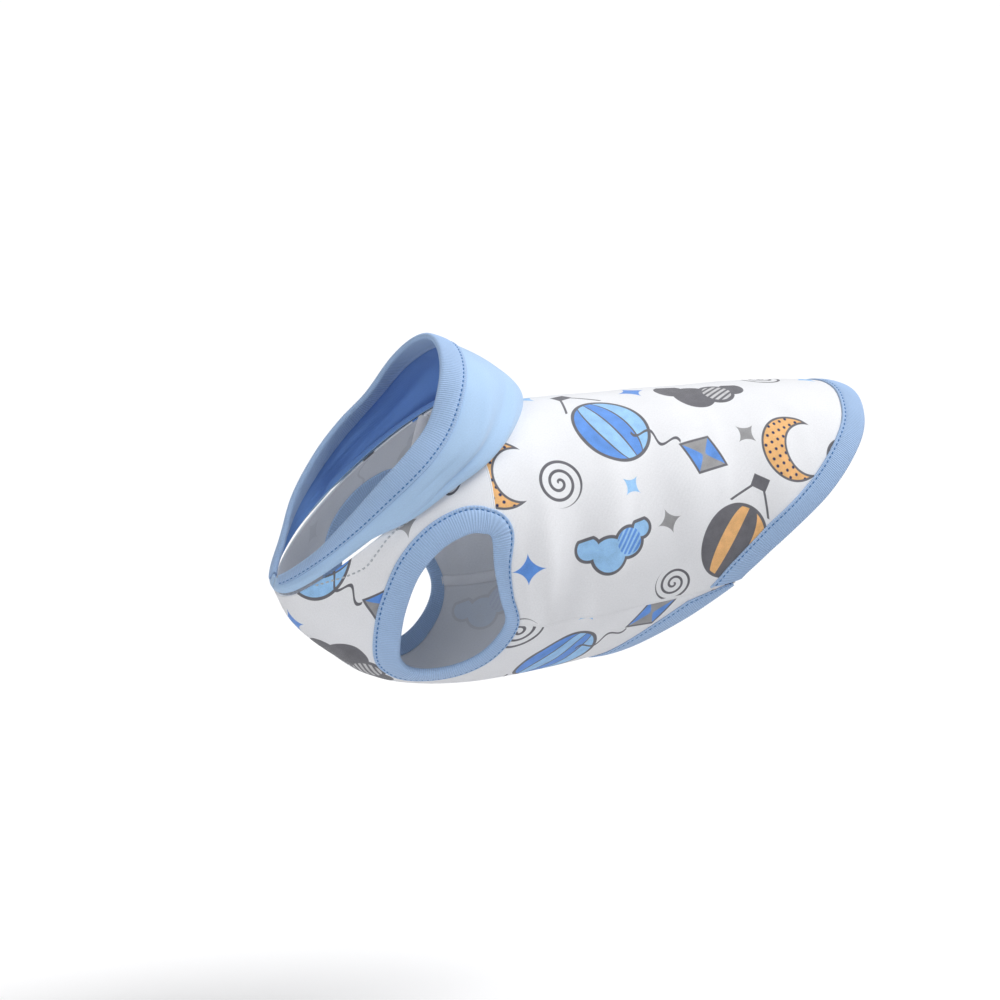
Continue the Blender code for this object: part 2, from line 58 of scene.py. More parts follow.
# Named sizes
GARMENT_LENGTH = 0.270
CHEST_DEPTH = 0.119
CHEST_WIDTH = 0.095
HOOD_LENGTH = 0.110
HOOD_HEIGHT = 0.100
HOOD_WIDTH = 0.074
FORMED_THICKNESS = 0.0012
BINDING_WIDTH = 0.010
CLEARANCE = 0.0004
SEAM_GAP = 0.0004
FOLD_DEPTH = 0.0020
ROUND_SHOULDER = 0.08
HOOD_LIFT = FORMED_THICKNESS + CLEARANCE
MM = 0.001

# Rings of the worn body: y as shares of GARMENT_LENGTH, z as shares of
# CHEST_DEPTH, half_width as shares of CHEST_WIDTH
Section = namedtuple("Section", "top_y top_z bottom_y bottom_z half_width")
BODY_SECTIONS = (
    Section(-0.104, 0.034, -0.389, -0.580, 0.347),
    Section(-0.074, 0.022, -0.361, -0.702, 0.400),
    Section(-0.041, 0.009, -0.307, -0.815, 0.453),
    Section(0.000, 0.000, -0.230, -0.926, 0.489),
    Section(0.081, 0.000, -0.107, -0.972, 0.500),
    Section(0.185, 0.000, 0.044, -0.955, 0.495),
    Section(0.315, 0.000, 0.222, -0.900, 0.484),
    Section(0.444, -0.004, 0.400, -0.828, 0.463),
    Section(0.548, -0.025, 0.541, -0.782, 0.432),
    Section(0.637, -0.084, 0.644, -0.773, 0.379),
)

# Soft folds of the body: station at 90 degrees, lean in stations per radian,
# width in stations, depth as a share of FOLD_DEPTH, middle angle, spread. The
# first nine are the large ones, the rest are fine creases of the thin cloth.
Fold = namedtuple("Fold", "station lean width depth angle spread")
BODY_FOLDS = (
    Fold(3.05, 1.30, 0.32, -1.80, 107, 21),
    Fold(3.92, 0.90, 0.20, 0.95, 96, 34),
    Fold(4.38, 0.70, 0.22, -0.70, 98, 36),
    Fold(4.80, 0.45, 0.20, 0.60, 78, 42),
    Fold(5.32, 0.40, 0.22, -0.45, 72, 44),
    Fold(5.78, 0.35, 0.22, 0.50, 68, 44),
    Fold(6.30, 0.30, 0.22, -0.40, 66, 42),
    Fold(6.80, 0.25, 0.22, 0.40, 62, 40),
    Fold(0.90, 0.50, 0.30, 0.60, 128, 26),
)
FINE_FOLDS = (
    Fold(3.62, 1.10, 0.10, -0.34, 104, 16),
    Fold(4.10, 0.70, 0.09, -0.28, 112, 18),
    Fold(4.62, 0.60, 0.10, 0.26, 106, 22),
    Fold(5.02, 0.30, 0.09, -0.22, 84, 24),
    Fold(5.56, 0.50, 0.10, -0.20, 96, 22),
    Fold(6.06, 0.20, 0.09, 0.20, 58, 26),
    Fold(6.55, 0.45, 0.10, -0.20, 84, 22),
    Fold(7.10, 0.10, 0.10, 0.16, 44, 24),
    Fold(4.95, -0.20, 0.12, 0.20, 128, 16),
    Fold(5.35, -0.35, 0.10, -0.20, 134, 16),
    Fold(1.35, 0.40, 0.14, -0.24, 120, 18),
    Fold(1.90, 0.30, 0.16, 0.24, 150, 20),
    Fold(2.60, 0.20, 0.16, -0.20, 164, 18),
)

# Edges on the drape surface: angle in degrees, station
Corner = namedtuple("Corner", "angle station")
NECKLINE = (
    Corner(180, 0.12),
    Corner(160, 0.16),
    Corner(135, 0.16),
    Corner(110, 0.24),
    Corner(86, 0.46),
    Corner(62, 0.76),
    Corner(40, 1.00),
    Corner(20, 1.08),
    Corner(0, 1.10),
)
NECKLINE_SHOULDER_ROW = 6
SHOULDER_SEAM = (
    Corner(40, 1.00),
    Corner(55, 1.88),
    Corner(70, 2.56),
    Corner(80, 2.86),
)
ARMHOLE = (
    Corner(80, 2.86),
    Corner(79, 2.56),
    Corner(82, 2.18),
    Corner(91, 1.83),
    Corner(104, 1.77),
    Corner(119, 2.04),
    Corner(133, 2.42),
    Corner(145, 2.80),
    Corner(149, 3.18),
    Corner(143, 3.58),
    Corner(130, 3.85),
    Corner(117, 3.86),
    Corner(105, 3.58),
    Corner(92, 3.22),
)
ARMHOLE_SIDE_ROW = 11
# Width of the armhole band that shows at each row of ARMHOLE, as a share of
# BINDING_WIDTH: flat in front, rolled in behind the leg
ARMHOLE_BAND_SHARES = (
    0.82, 0.95, 1.00, 1.00, 1.00, 1.00, 1.00, 0.96, 0.84, 0.68, 0.54, 0.46, 0.45, 0.56,
)
# Topstitch of the neckline, partly under the hood
NECK_STITCHES = (
    Corner(142, 0.19),
    Corner(133, 0.33),
    Corner(123, 0.54),
    Corner(115, 0.67),
    Corner(108, 0.60),
    Corner(98, 0.52),
    Corner(86, 0.70),
    Corner(70, 0.94),
    Corner(50, 1.16),
    Corner(25, 1.34),
    Corner(0, 1.36),
)
CHEST_CENTRE = (Corner(180, 5.62), Corner(180, 4.50), NECKLINE[0])
BACK_HEM = (
    Corner(0, 8.38),
    Corner(16, 8.35),
    Corner(31, 8.24),
    Corner(47, 8.06),
    Corner(62, 7.78),
    Corner(81, 7.33),
    Corner(98, 6.83),
    Corner(112, 6.53),
    Corner(119, 6.42),
)
BELLY_HEM = (
    Corner(180, 5.62),
    Corner(163, 5.67),
    Corner(147, 5.84),
    Corner(131, 6.14),
    Corner(119, 6.42),
)

# Hood rows from the throat to the nape. The face edge: x as shares of
# HOOD_WIDTH, y of HOOD_LENGTH, z of HOOD_HEIGHT. The droop over the neckline:
# angle and station of its lower edge, and lift in cloths. The bulges of the
# lower and upper outer cloth: shares of HOOD_WIDTH.
HoodRow = namedtuple(
    "HoodRow", "x y z neck_angle droop_angle droop_station lift lower upper"
)
HOOD_ROWS = (
    HoodRow(0.000, -0.955, -0.640, 180, 180, -0.10, 0.1, 0.00, 0.00),
    HoodRow(0.235, -0.865, -0.525, 137, 136, -0.06, 0.6, 0.00, 0.01),
    HoodRow(0.392, -0.780, -0.380, 111, 109, 0.06, 2.0, 0.02, 0.02),
    HoodRow(0.473, -0.668, -0.225, 90, 87, 0.76, 3.2, 0.05, 0.05),
    HoodRow(0.500, -0.562, -0.102, 74, 70, 1.26, 2.8, 0.07, 0.10),
    HoodRow(0.460, -0.462, 0.014, 57, 53, 2.00, 2.8, 0.08, 0.13),
    HoodRow(0.355, -0.388, 0.165, 40, 36, 2.66, 3.0, 0.07, 0.11),
    HoodRow(0.195, -0.345, 0.262, 20, 18, 3.14, 3.1, 0.06, 0.07),
    HoodRow(0.000, -0.330, 0.300, 0, 0, 3.28, 3.1, 0.06, 0.05),
)
LAST_HOOD_ROW = len(HOOD_ROWS) - 1
RISE_SHARE = 0.33
UNDER_SHARE = 0.66
UNDER_LIFT = 0.66
RISE_AHEAD = 0.35
FULL_DROOP = 0.30
HOOD_KNOTS = (0, 0, 0, 0, 0.25, 0.5, 0.75, 1, 1, 1, 1)
LOWER_SHARE = 0.30
UPPER_SHARE = 0.62
FLARE = 1.3
HOOD_BAND_START = 0.20
BAND_HEIGHT_SHARE = 0.55
CORNER_BAND_WIDTH = 0.0015
CORNER_SHARE = 0.7
END_INSET = 0.25
SEAM_PROBE = 0.05
SHOULDER_GAP_SHARE = 0.6
MIRROR_REACH = 1e-6
DIFFERENCE = 1e-4

# Drape folds of the hood: place across from the neckline at 0 to the face edge
# at 1, row at its middle, run in rows, width across, depth in millimetres
HoodFold = namedtuple("HoodFold", "across row run width depth slant")
HOOD_FOLDS = (
    HoodFold(0.66, 4.5, 1.5, 0.045, -1.5, 0.050),
    HoodFold(0.77, 5.1, 1.4, 0.040, 1.0, 0.060),
    HoodFold(0.58, 5.6, 1.1, 0.045, 1.1, 0.055),
    HoodFold(0.70, 6.4, 0.9, 0.050, -1.4, 0.030),
    HoodFold(0.62, 3.4, 0.8, 0.045, 0.7, 0.050),
    HoodFold(0.80, 3.9, 0.8, 0.030, -0.6, 0.030),
)

# Cross-section of a folded band, from its stitched edge over the outside, round
# the fold and back inside to the slot for the cloth: share across from the
# cloth's edge, height over the cloth's middle and reach beyond the edge in
# millimetres, and share of the rib height
BandPoint = namedtuple("BandPoint", "across height ahead rib")
BAND_PROFILE = (
    BandPoint(1.00, 0.55, 0.00, 0.0),
    BandPoint(1.00, 0.98, 0.00, 0.3),
    BandPoint(0.975, 1.18, 0.00, 0.6),
    BandPoint(0.94, 1.22, 0.00, 0.6),
    BandPoint(0.90, 1.10, 0.00, 0.4),
    BandPoint(0.87, 0.92, 0.00, 0.2),
    BandPoint(0.84, 0.92, 0.00, 0.2),
    BandPoint(0.81, 1.12, 0.00, 0.6),
    BandPoint(0.76, 1.32, 0.00, 1.0),
    BandPoint(0.66, 1.46, 0.00, 1.0),
    BandPoint(0.50, 1.54, 0.00, 1.0),
    BandPoint(0.34, 1.54, 0.00, 1.0),
    BandPoint(0.18, 1.48, 0.00, 1.0),
    BandPoint(0.06, 1.38, 0.00, 1.0),
    BandPoint(0.00, 1.24, 0.35, 1.0),
    BandPoint(0.00, 0.92, 0.78, 1.0),
    BandPoint(0.00, 0.48, 1.06, 1.0),
    BandPoint(0.00, 0.00, 1.15, 1.0),
    BandPoint(0.00, -0.48, 1.06, 1.0),
    BandPoint(0.00, -0.92, 0.78, 1.0),
    BandPoint(0.00, -1.20, 0.35, 1.0),
    BandPoint(0.10, -1.30, 0.00, 1.0),
    BandPoint(0.40, -1.34, 0.00, 1.0),
    BandPoint(0.70, -1.28, 0.00, 1.0),
    BandPoint(0.86, -1.05, 0.00, 0.4),
    BandPoint(0.95, -1.18, 0.00, 0.6),
    BandPoint(1.00, -0.98, 0.00, 0.0),
    BandPoint(1.00, -0.55, 0.00, 0.0),
    BandPoint(0.50, -0.55, 0.00, 0.0),
    BandPoint(0.05, -0.55, 0.00, 0.0),
    BandPoint(0.00, -0.30, 0.20, 0.0),
    BandPoint(0.00, 0.30, 0.20, 0.0),
    BandPoint(0.05, 0.55, 0.00, 0.0),
    BandPoint(0.50, 0.55, 0.00, 0.0),
)
STITCH_ACROSS = 0.855
TRACKS = 20

# Cross-section of a pressed seam, over the outside and back under it: place
# across and height over the cloth's middle, in millimetres
SeamPoint = namedtuple("SeamPoint", "across height")
SEAM_PROFILE = (
    SeamPoint(-1.0, 0.36),
    SeamPoint(-0.70, 0.48),
    SeamPoint(-0.40, 0.54),
    SeamPoint(-0.14, 0.46),
    SeamPoint(0.00, 0.26),
    SeamPoint(0.14, 0.46),
    SeamPoint(0.40, 0.54),
    SeamPoint(0.70, 0.48),
    SeamPoint(1.0, 0.36),
    SeamPoint(2.4, -0.60),
    SeamPoint(2.0, -1.10),
    SeamPoint(0.0, -1.20),
    SeamPoint(-2.0, -1.10),
    SeamPoint(-2.4, -0.60),
)

# One stitch: place along its length as shares of half of it, girth and drop
StitchRing = namedtuple("StitchRing", "along girth drop")
STITCH_RINGS = (
    StitchRing(-1.00, 0.30, 1.00),
    StitchRing(-0.82, 0.85, 0.45),
    StitchRing(-0.35, 1.00, 0.06),
    StitchRing(0.35, 1.00, 0.06),
    StitchRing(0.82, 0.85, 0.45),
    StitchRing(1.00, 0.30, 1.00),
)
STITCH_SIDES = 6

# Print: one repeat of the design. Motif, place and size in millimetres, turn in
# degrees, and its two colours
REPEAT = (134.0, 122.0)
PrintRow = namedtuple("PrintRow", "motif x y turn size main second")
PRINT_ROWS = (
    PrintRow("balloon", 30, 34, 24, 25, "mid_blue", "light_blue"),
    PrintRow("cloud", 82, 22, -10, 22, "grey", "pale_grey"),
    PrintRow("moon", 112, 58, 20, 17, "peach", "navy"),
    PrintRow("balloon", 84, 90, -28, 24, "grey", "peach"),
    PrintRow("cloud", 24, 92, 14, 20, "light_blue", "mid_blue"),
    PrintRow("kite", 66, 56, 62, 16, "mid_blue", "light_grey"),
    PrintRow("swirl", 2, 64, 10, 11, "grey", "grey"),
    PrintRow("swirl", 120, 8, 150, 10, "grey", "grey"),
    PrintRow("swirl", 54, 112, 250, 9, "grey", "grey"),
    PrintRow("sparkle", 54, 14, 12, 7.0, "mid_blue", "mid_blue"),
    PrintRow("sparkle", 92, 50, 40, 5.5, "light_grey", "light_grey"),
    PrintRow("sparkle", 6, 10, 30, 6.0, "light_blue", "light_blue"),
    PrintRow("sparkle", 50, 84, 20, 5.5, "light_grey", "light_grey"),
    PrintRow("sparkle", 120, 98, 5, 7.0, "mid_blue", "mid_blue"),
    PrintRow("sparkle", 34, 68, 50, 5.0, "light_blue", "light_blue"),
)
PRINT_COLOURS = {
    "grey": (0.43, 0.43, 0.455),
    "light_grey": (0.62, 0.62, 0.63),
    "pale_grey": (0.80, 0.80, 0.81),
    "light_blue": (0.62, 0.80, 0.97),
    "mid_blue": (0.40, 0.60, 0.90),
    "peach": (0.95, 0.74, 0.50),
    "navy": (0.20, 0.24, 0.38),
}

# Camera: angle of view as the photograph has it, the point it is fitted to and
# where that point lies in the square picture
VIEW_AZIMUTH = 65.0
VIEW_ELEVATION = 12.0
VIEW_DISTANCE = 1.3
VIEW_WIDTH = 0.42
VIEW_TARGET = (0.0, 0.022, -0.035)
VIEW_SHIFT = (-0.06, -0.02)
SENSOR = 36.0

# Lights: a broad one overhead, a soft box in front of the chest, and the
# strength of the white surround. Size is degrees for the sun, metres for the box
SURROUND = 0.32
Lamp = namedtuple("Lamp", "name kind x y z size energy")
LAMPS = (
    Lamp("top_light", "SUN", 0.15, 0.95, 1.15, 28.0, 2.90),
    Lamp("front_light", "AREA", 1.05, -1.05, 0.55, 0.7, 5.5),
)


class TopSizes(PropertyGroup):
    """Sizes of the cloth, bindings and stitches that show"""

    cloth_thickness: FloatProperty(
        name="Cloth Thickness", description="Thickness of the jersey",
        default=0.0009, min=0.0004, max=0.001, subtype="DISTANCE", unit="LENGTH", precision=5)
    rib_pitch: FloatProperty(
        name="Rib Pitch", description="Distance from rib to rib along a binding",
        default=0.00088, min=0.0005, max=0.003, subtype="DISTANCE", unit="LENGTH", precision=5)
    rib_height: FloatProperty(
        name="Rib Height", description="Height of the ribs of a binding",
        default=0.00007, min=0.0, max=0.0003, subtype="DISTANCE", unit="LENGTH", precision=5)
    stitch_pitch: FloatProperty(
        name="Stitch Pitch", description="Distance from stitch to stitch",
        default=0.0023, min=0.001, max=0.006, subtype="DISTANCE", unit="LENGTH", precision=5)
    stitch_length: FloatProperty(
        name="Stitch Length", description="Length of one stitch",
        default=0.0016, min=0.0008, max=0.005, subtype="DISTANCE", unit="LENGTH", precision=5)
    stitch_width: FloatProperty(
        name="Stitch Width", description="Width of the sewing thread",
        default=0.00076, min=0.0002, max=0.001, subtype="DISTANCE", unit="LENGTH", precision=5)
    print_size: FloatProperty(
        name="Print Size", description="Size of the printed motifs, one as drawn",
        default=1.0, min=0.5, max=2.0, subtype="FACTOR")
    rib_steps: IntProperty(
        name="Steps per Rib", description="Mesh steps along each rib", default=4, min=2, max=8)


def colour_property(name, description, default):
    """Colour of a material, as it looks on a screen."""
    return FloatVectorProperty(
        name=name, description=description, default=default,
        size=3, min=0.0, max=1.0, subtype="COLOR_GAMMA")


class TopColours(PropertyGroup):
    """Colours of the cloth, bindings and threads"""

    white: colour_property("White Jersey", "Ground of the printed jersey", (0.945, 0.95, 0.965))
    inside: colour_property("White Inside", "Inside of the printed jersey", (0.90, 0.91, 0.93))
    hood: colour_property("Hood", "Outside of the hood", (0.70, 0.82, 0.95))
    # The inside of the hood is the same cloth as the outside. This darker, bluer colour is painted shade of
    # the hood's hollow.
    hood_inside_painted_shade: colour_property("Hood Inside", "Inside of the hood", (0.46, 0.62, 0.87))
    binding: colour_property("Binding", "Rib knit of the bindings", (0.66, 0.77, 0.915))
    blue_thread: colour_property("Blue Thread", "Stitches of the bindings", (0.26, 0.47, 0.70))
    grey_thread: colour_property("Grey Thread", "Stitches of the neckline", (0.74, 0.76, 0.78))
    floor: colour_property("Floor", "Floor under the top", (0.83, 0.83, 0.835))


def sizes():
    """Sizes that the sidebar holds."""
    return bpy.context.scene.dog_top_sizes


def colours():
    """Colours that the sidebar holds."""
    return bpy.context.scene.dog_top_colours


def table(rows):
    """Rows of a named table as an array, angles in degrees turned to radians."""
    values = np.array([tuple(row) for row in rows], dtype=float)
    if isinstance(rows[0], Corner):
        values[:, 0] = np.radians(values[:, 0])
    return values


def through_rows(rows, position, before=None, after=None):
    """Smooth curve that passes through every row, position counted in rows."""
    first = 2 * rows[0] - rows[1] if before is None else before
    last = 2 * rows[-1] - rows[-2] if after is None else after
    padded = np.concatenate([first[None], rows, last[None]])
    position = np.asarray(position, dtype=float)
    row = np.clip(np.floor(position).astype(int), 0, len(rows) - 2)
    t = (position - row).reshape(position.shape + (1,) * (rows.ndim - 1))
    p0, p1, p2, p3 = (padded[row + shift] for shift in range(4))
    linear = p2 - p0
    square = 2 * p0 - 5 * p1 + 4 * p2 - p3
    cubic = -p0 + 3 * p1 - 3 * p2 + p3
    return p1 + 0.5 * (linear * t + square * t**2 + cubic * t**3)


def unit(vectors):
    """Vectors scaled to length one."""
    return vectors / np.linalg.norm(vectors, axis=-1, keepdims=True)


def body_ring(angle, station):
    """Point of the smooth body: an egg-shaped ring at each station."""
    scale = (GARMENT_LENGTH, CHEST_DEPTH, GARMENT_LENGTH, CHEST_DEPTH, CHEST_WIDTH)
    ring = through_rows(table(BODY_SECTIONS) * scale, station)
    top_y, top_z, bottom_y, bottom_z, half_width = np.moveaxis(ring, -1, 0)
    cosine = np.cos(angle)
    x = half_width * np.sin(angle) * (1 + ROUND_SHOULDER * cosine)
    y = (top_y + bottom_y) / 2 + cosine * (top_y - bottom_y) / 2
    z = (top_z + bottom_z) / 2 + cosine * (top_z - bottom_z) / 2
    return np.stack([x, y, z], axis=-1)


def partials(surface, a, b):
    """Numeric slopes of a surface along its two coordinates."""
    along_a = surface(a + DIFFERENCE, b) - surface(a - DIFFERENCE, b)
    along_b = surface(a, b + DIFFERENCE) - surface(a, b - DIFFERENCE)
    return along_a / (2 * DIFFERENCE), along_b / (2 * DIFFERENCE)


def normal(surface, a, b):
    """Outward unit normal of a surface."""
    along_a, along_b = partials(surface, a, b)
    return unit(np.cross(along_a, along_b))


def folded_angle(angle):
    """Angle from the back, from 0 to pi on either side."""
    return np.arccos(np.clip(np.cos(angle), -1, 1))


def fold_height(angle, station):
    """Sum of the folds, each a smooth ridge or hollow across the body."""
    height = np.zeros(np.broadcast(angle, station).shape)
    side = folded_angle(angle)
    for fold in BODY_FOLDS + FINE_FOLDS:
        middle = fold.station + fold.lean * (side - np.pi / 2)
        across = np.exp(-(((station - middle) / fold.width) ** 2))
        around = (np.degrees(side) - fold.angle) / fold.spread
        height += FOLD_DEPTH * fold.depth * across * np.exp(-(around**2))
    return height


def drape(angle, station, lift=0.0):
    """Middle of the cloth on the body, with its folds, raised by lift."""
    angle, station = np.broadcast_arrays(
        np.asarray(angle, dtype=float), np.asarray(station, dtype=float)
    )
    raised = fold_height(angle, station) + lift
    outward = normal(body_ring, angle, station)
    return body_ring(angle, station) + raised[..., None] * outward


def neck_station(angle):
    """Station of the neckline at an angle around the body."""
    path = through_rows(table(NECKLINE), np.linspace(0, len(NECKLINE) - 1, 400))
    return np.interp(-np.abs(angle), -path[:, 0], path[:, 1])


def hood_controls(row):
    """Seven control points of the hood at a row: from the neckline up past the
    edge of the body cloth, back under the droop, round its lower edge and up
    the outer cloth to the face edge."""
    rows = np.array([tuple(values) for values in HOOD_ROWS], dtype=float)
    rows[:, 3:5] = np.radians(rows[:, 3:5])
    below, above = rows[1].copy(), rows[-2].copy()
    below[[0, 3, 4]] = -below[0], 2 * np.pi - below[3], 2 * np.pi - below[4]
    above[[0, 3, 4]] *= -1
    values = through_rows(rows, row, below, above)
    neck_angle, droop_angle, droop_station = np.moveaxis(values[..., 3:6], -1, 0)
    lift, lower_bulge, upper_bulge = np.moveaxis(values[..., 6:9], -1, 0)
    lift = lift * FORMED_THICKNESS
    face = values[..., 0:3] * (HOOD_WIDTH, HOOD_LENGTH, HOOD_HEIGHT)
    station = neck_station(neck_angle)
    ahead = -unit(partials(body_ring, neck_angle, station)[1])
    away = normal(body_ring, neck_angle, station)
    neck = drape(neck_angle, station) + ahead * HOOD_LIFT
    droop = drape(droop_angle, droop_station, lift)
    drooping = np.clip((droop_station - station) / FULL_DROOP, 0, 1)[..., None]
    forward = ahead * (lift * RISE_AHEAD)[..., None] + away * lift[..., None]
    rise = neck + (droop - neck) * RISE_SHARE * (1 - drooping) + forward * drooping
    middle_angle = (neck_angle + droop_angle) / 2
    pressed = drape(middle_angle, (station + droop_station) / 2, lift * UNDER_LIFT)
    under = neck + (droop - neck) * UNDER_SHARE
    under = under + (pressed - under) * drooping
    outward = normal(body_ring, droop_angle, droop_station) * HOOD_WIDTH
    flare = np.minimum(neck_angle * FLARE, np.pi / 2)
    sideways = np.stack([np.sin(flare), np.zeros_like(flare), np.cos(flare)], axis=-1)
    lower = droop + (face - droop) * LOWER_SHARE + outward * lower_bulge[..., None]
    upper = droop + (face - droop) * UPPER_SHARE
    upper = upper + sideways * HOOD_WIDTH * upper_bulge[..., None]
    return np.stack([neck, rise, under, droop, lower, upper, face], axis=-2)


def spline_weights(t, knots):
    """Weights of a clamped cubic B-spline, by the usual recurrence."""
    t = np.minimum(t, 1 - 1e-12)[..., None]
    knots = np.array(knots)
    weights = ((t >= knots[:-1]) & (t < knots[1:])).astype(float)
    for degree in (1, 2, 3):
        left = knots[degree:-1] - knots[: -degree - 1]
        right = knots[degree + 1:] - knots[1:-degree]
        rising = (t - knots[: -degree - 1]) / np.where(left > 0, left, 1)
        falling = (knots[degree + 1:] - t) / np.where(right > 0, right, 1)
        kept = np.where(left > 0, rising, 0) * weights[..., :-1]
        weights = kept + np.where(right > 0, falling, 0) * weights[..., 1:]
    return weights


def hood_smooth(row, across):
    """Middle of the left hood cloth without folds: in each row a cubic
    B-spline over the control points, from the neckline at 0 to the face at 1."""
    row, across = np.broadcast_arrays(
        np.asarray(row, dtype=float), np.asarray(across, dtype=float)
    )
    points = hood_controls(row)
    inner = np.clip(across, 0, 1)
    inside = np.einsum("...k,...kc->...c", spline_weights(inner, HOOD_KNOTS), points)
    slope = 3 / (1 - HOOD_KNOTS[-5]) * (points[..., -1, :] - points[..., -2, :])
    return inside + (across - inner)[..., None] * slope


def hood_fold_height(row, across):
    """Sum of the hood's drape folds, each a soft ridge along the rows."""
    height = np.zeros(np.broadcast(row, across).shape)
    for fold in HOOD_FOLDS:
        middle = fold.across + fold.slant * (row - fold.row)
        ridge = np.exp(-(((across - middle) / fold.width) ** 2))
        height += fold.depth * MM * ridge * np.exp(-(((row - fold.row) / fold.run) ** 2))
    return height


def hood_surface(row, across):
    """Middle of the left hood cloth with its folds."""
    row, across = np.broadcast_arrays(
        np.asarray(row, dtype=float), np.asarray(across, dtype=float)
    )
    height = hood_fold_height(row, across)
    return hood_smooth(row, across) + height[..., None] * normal(hood_smooth, row, across)


def rows_at(rows, shares, first=0, last=None, closed=False):
    """Rows of an edge's table, with fractions, at shares of its length."""
    last = len(rows) - 1 if last is None else last
    corners = table(rows)
    ends = (corners[-2], corners[1]) if closed else (None, None)
    dense = np.linspace(first, last, 1600)
    path = through_rows(corners, dense, *ends)
    length = path_length(drape(path[:, 0], path[:, 1]))
    return np.interp(np.asarray(shares) * length[-1], length, dense)


def sample(rows, shares, first=0, last=None, closed=False):
    """Points of an edge between two of its rows, at shares of its length."""
    corners = table(rows)
    ends = (corners[-2], corners[1]) if closed else (None, None)
    return through_rows(corners, rows_at(rows, shares, first, last, closed), *ends)


def even(steps):
    """Even shares from zero to one."""
    return np.linspace(0, 1, steps + 1)


def armhole_edge(steps):
    """Whole armhole edge from the shoulder round and back, its end left out,
    and the width of the band on it."""
    loop = ARMHOLE + ARMHOLE[:1]
    shares = np.array(ARMHOLE_BAND_SHARES + ARMHOLE_BAND_SHARES[:1])
    row = rows_at(loop, even(steps), closed=True)[:-1]
    width = through_rows(shares, row, shares[-2], shares[1]) * BINDING_WIDTH
    return sample(loop, even(steps), closed=True)[:-1], width


def side_gap():
    """Angle that half a seam gap takes at the side of the body."""
    return SEAM_GAP / CHEST_WIDTH


def station_gap(edge):
    """Stations that a seam gap takes at each point of an edge."""
    along = partials(body_ring, edge[:, 0], edge[:, 1])[1]
    return SEAM_GAP / np.linalg.norm(along, axis=1)


def back_hem_edge(steps):
    """Half the cloth edge of the tail hem, centre to side seam."""
    hem = sample(BACK_HEM, even(steps))
    hem[:, 0] -= side_gap() * even(steps) ** 8
    return hem


def belly_hem_edge(steps):
    """Half the cloth edge of the belly hem, centre to side seam."""
    hem = sample(BELLY_HEM, even(steps))
    hem[:, 0] += side_gap() * even(steps) ** 8
    return hem


def ruled(start, end, shares):
    """Grid of drape coordinates, straight from one edge to the other."""
    return start[:, None] + (end - start)[:, None] * np.asarray(shares)[None, :, None]


def bend_to(domain, edge, rows):
    """Move the first row of the grid onto an edge, fading over some rows."""
    fade = np.clip(1 - np.arange(len(domain)) / rows, 0, 1)
    return domain + fade[:, None, None] * (edge - domain[0])[None]


def path_length(points):
    """Distance along a row of points, from its start."""
    steps = np.linalg.norm(np.diff(points, axis=0), axis=1)
    return np.concatenate([[0], np.cumsum(steps)])


def run_length(points, axis, start):
    """Distance along the lines of a grid, counted from a line of it."""
    steps = np.linalg.norm(np.diff(points, axis=axis), axis=-1)
    zero = np.zeros_like(np.take(steps, [0], axis=axis))
    length = np.concatenate([zero, np.cumsum(steps, axis=axis)], axis=axis)
    return length - np.take(length, [start], axis=axis)


def grid_faces(rows, columns, around=False, closed=False):
    """Quads of a grid of points, its columns joined round, its rows closed."""
    corner = np.arange(rows * columns).reshape(rows, columns)
    if around:
        corner = np.concatenate([corner, corner[:, :1]], axis=1)
    if closed:
        corner = np.concatenate([corner, corner[:1]], axis=0)
    quads = np.stack(
        [corner[:-1, :-1], corner[1:, :-1], corner[1:, 1:], corner[:-1, 1:]], axis=-1
    )
    return quads.reshape(-1, 4)


def make_piece(name, points, faces, materials, places=None, caps=()):
    """Mesh object of quads and end caps, shaded smooth, with a map of places
    on the cloth in metres."""
    points = points.reshape(-1, 3)
    mesh = bpy.data.meshes.new(name)
    mesh.from_pydata(points, [], faces.tolist() + [list(cap) for cap in caps])
    if places is not None:
        corners = np.empty(len(mesh.loops), dtype=np.int32)
        mesh.loops.foreach_get("vertex_index", corners)
        layer = mesh.uv_layers.new(name="cloth_map")
        layer.data.foreach_set("uv", places.reshape(-1, 2)[corners].ravel())
    for material in materials:
        mesh.materials.append(material)
    mesh.shade_smooth()
    piece = bpy.data.objects.new(name, mesh)
    bpy.context.scene.collection.objects.link(piece)
    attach(piece, "root")
    return piece


def add_wall(piece, thickness):
    """Give open cloth its thickness, half to each side, the inside face in
    the second material."""
    wall = piece.modifiers.new("wall", "SOLIDIFY")
    wall.thickness = thickness
    wall.offset = 0.0
    wall.use_rim = True
    wall.material_offset = 1
    wall.material_offset_rim = 0


def linear(colour):
    """Screen colour as the light values that shaders take."""
    values = np.asarray(tuple(colour)[:3], dtype=float)
    light = np.where(values <= 0.04045, values / 12.92, ((values + 0.055) / 1.055) ** 2.4)
    return (*light.tolist(), 1.0)


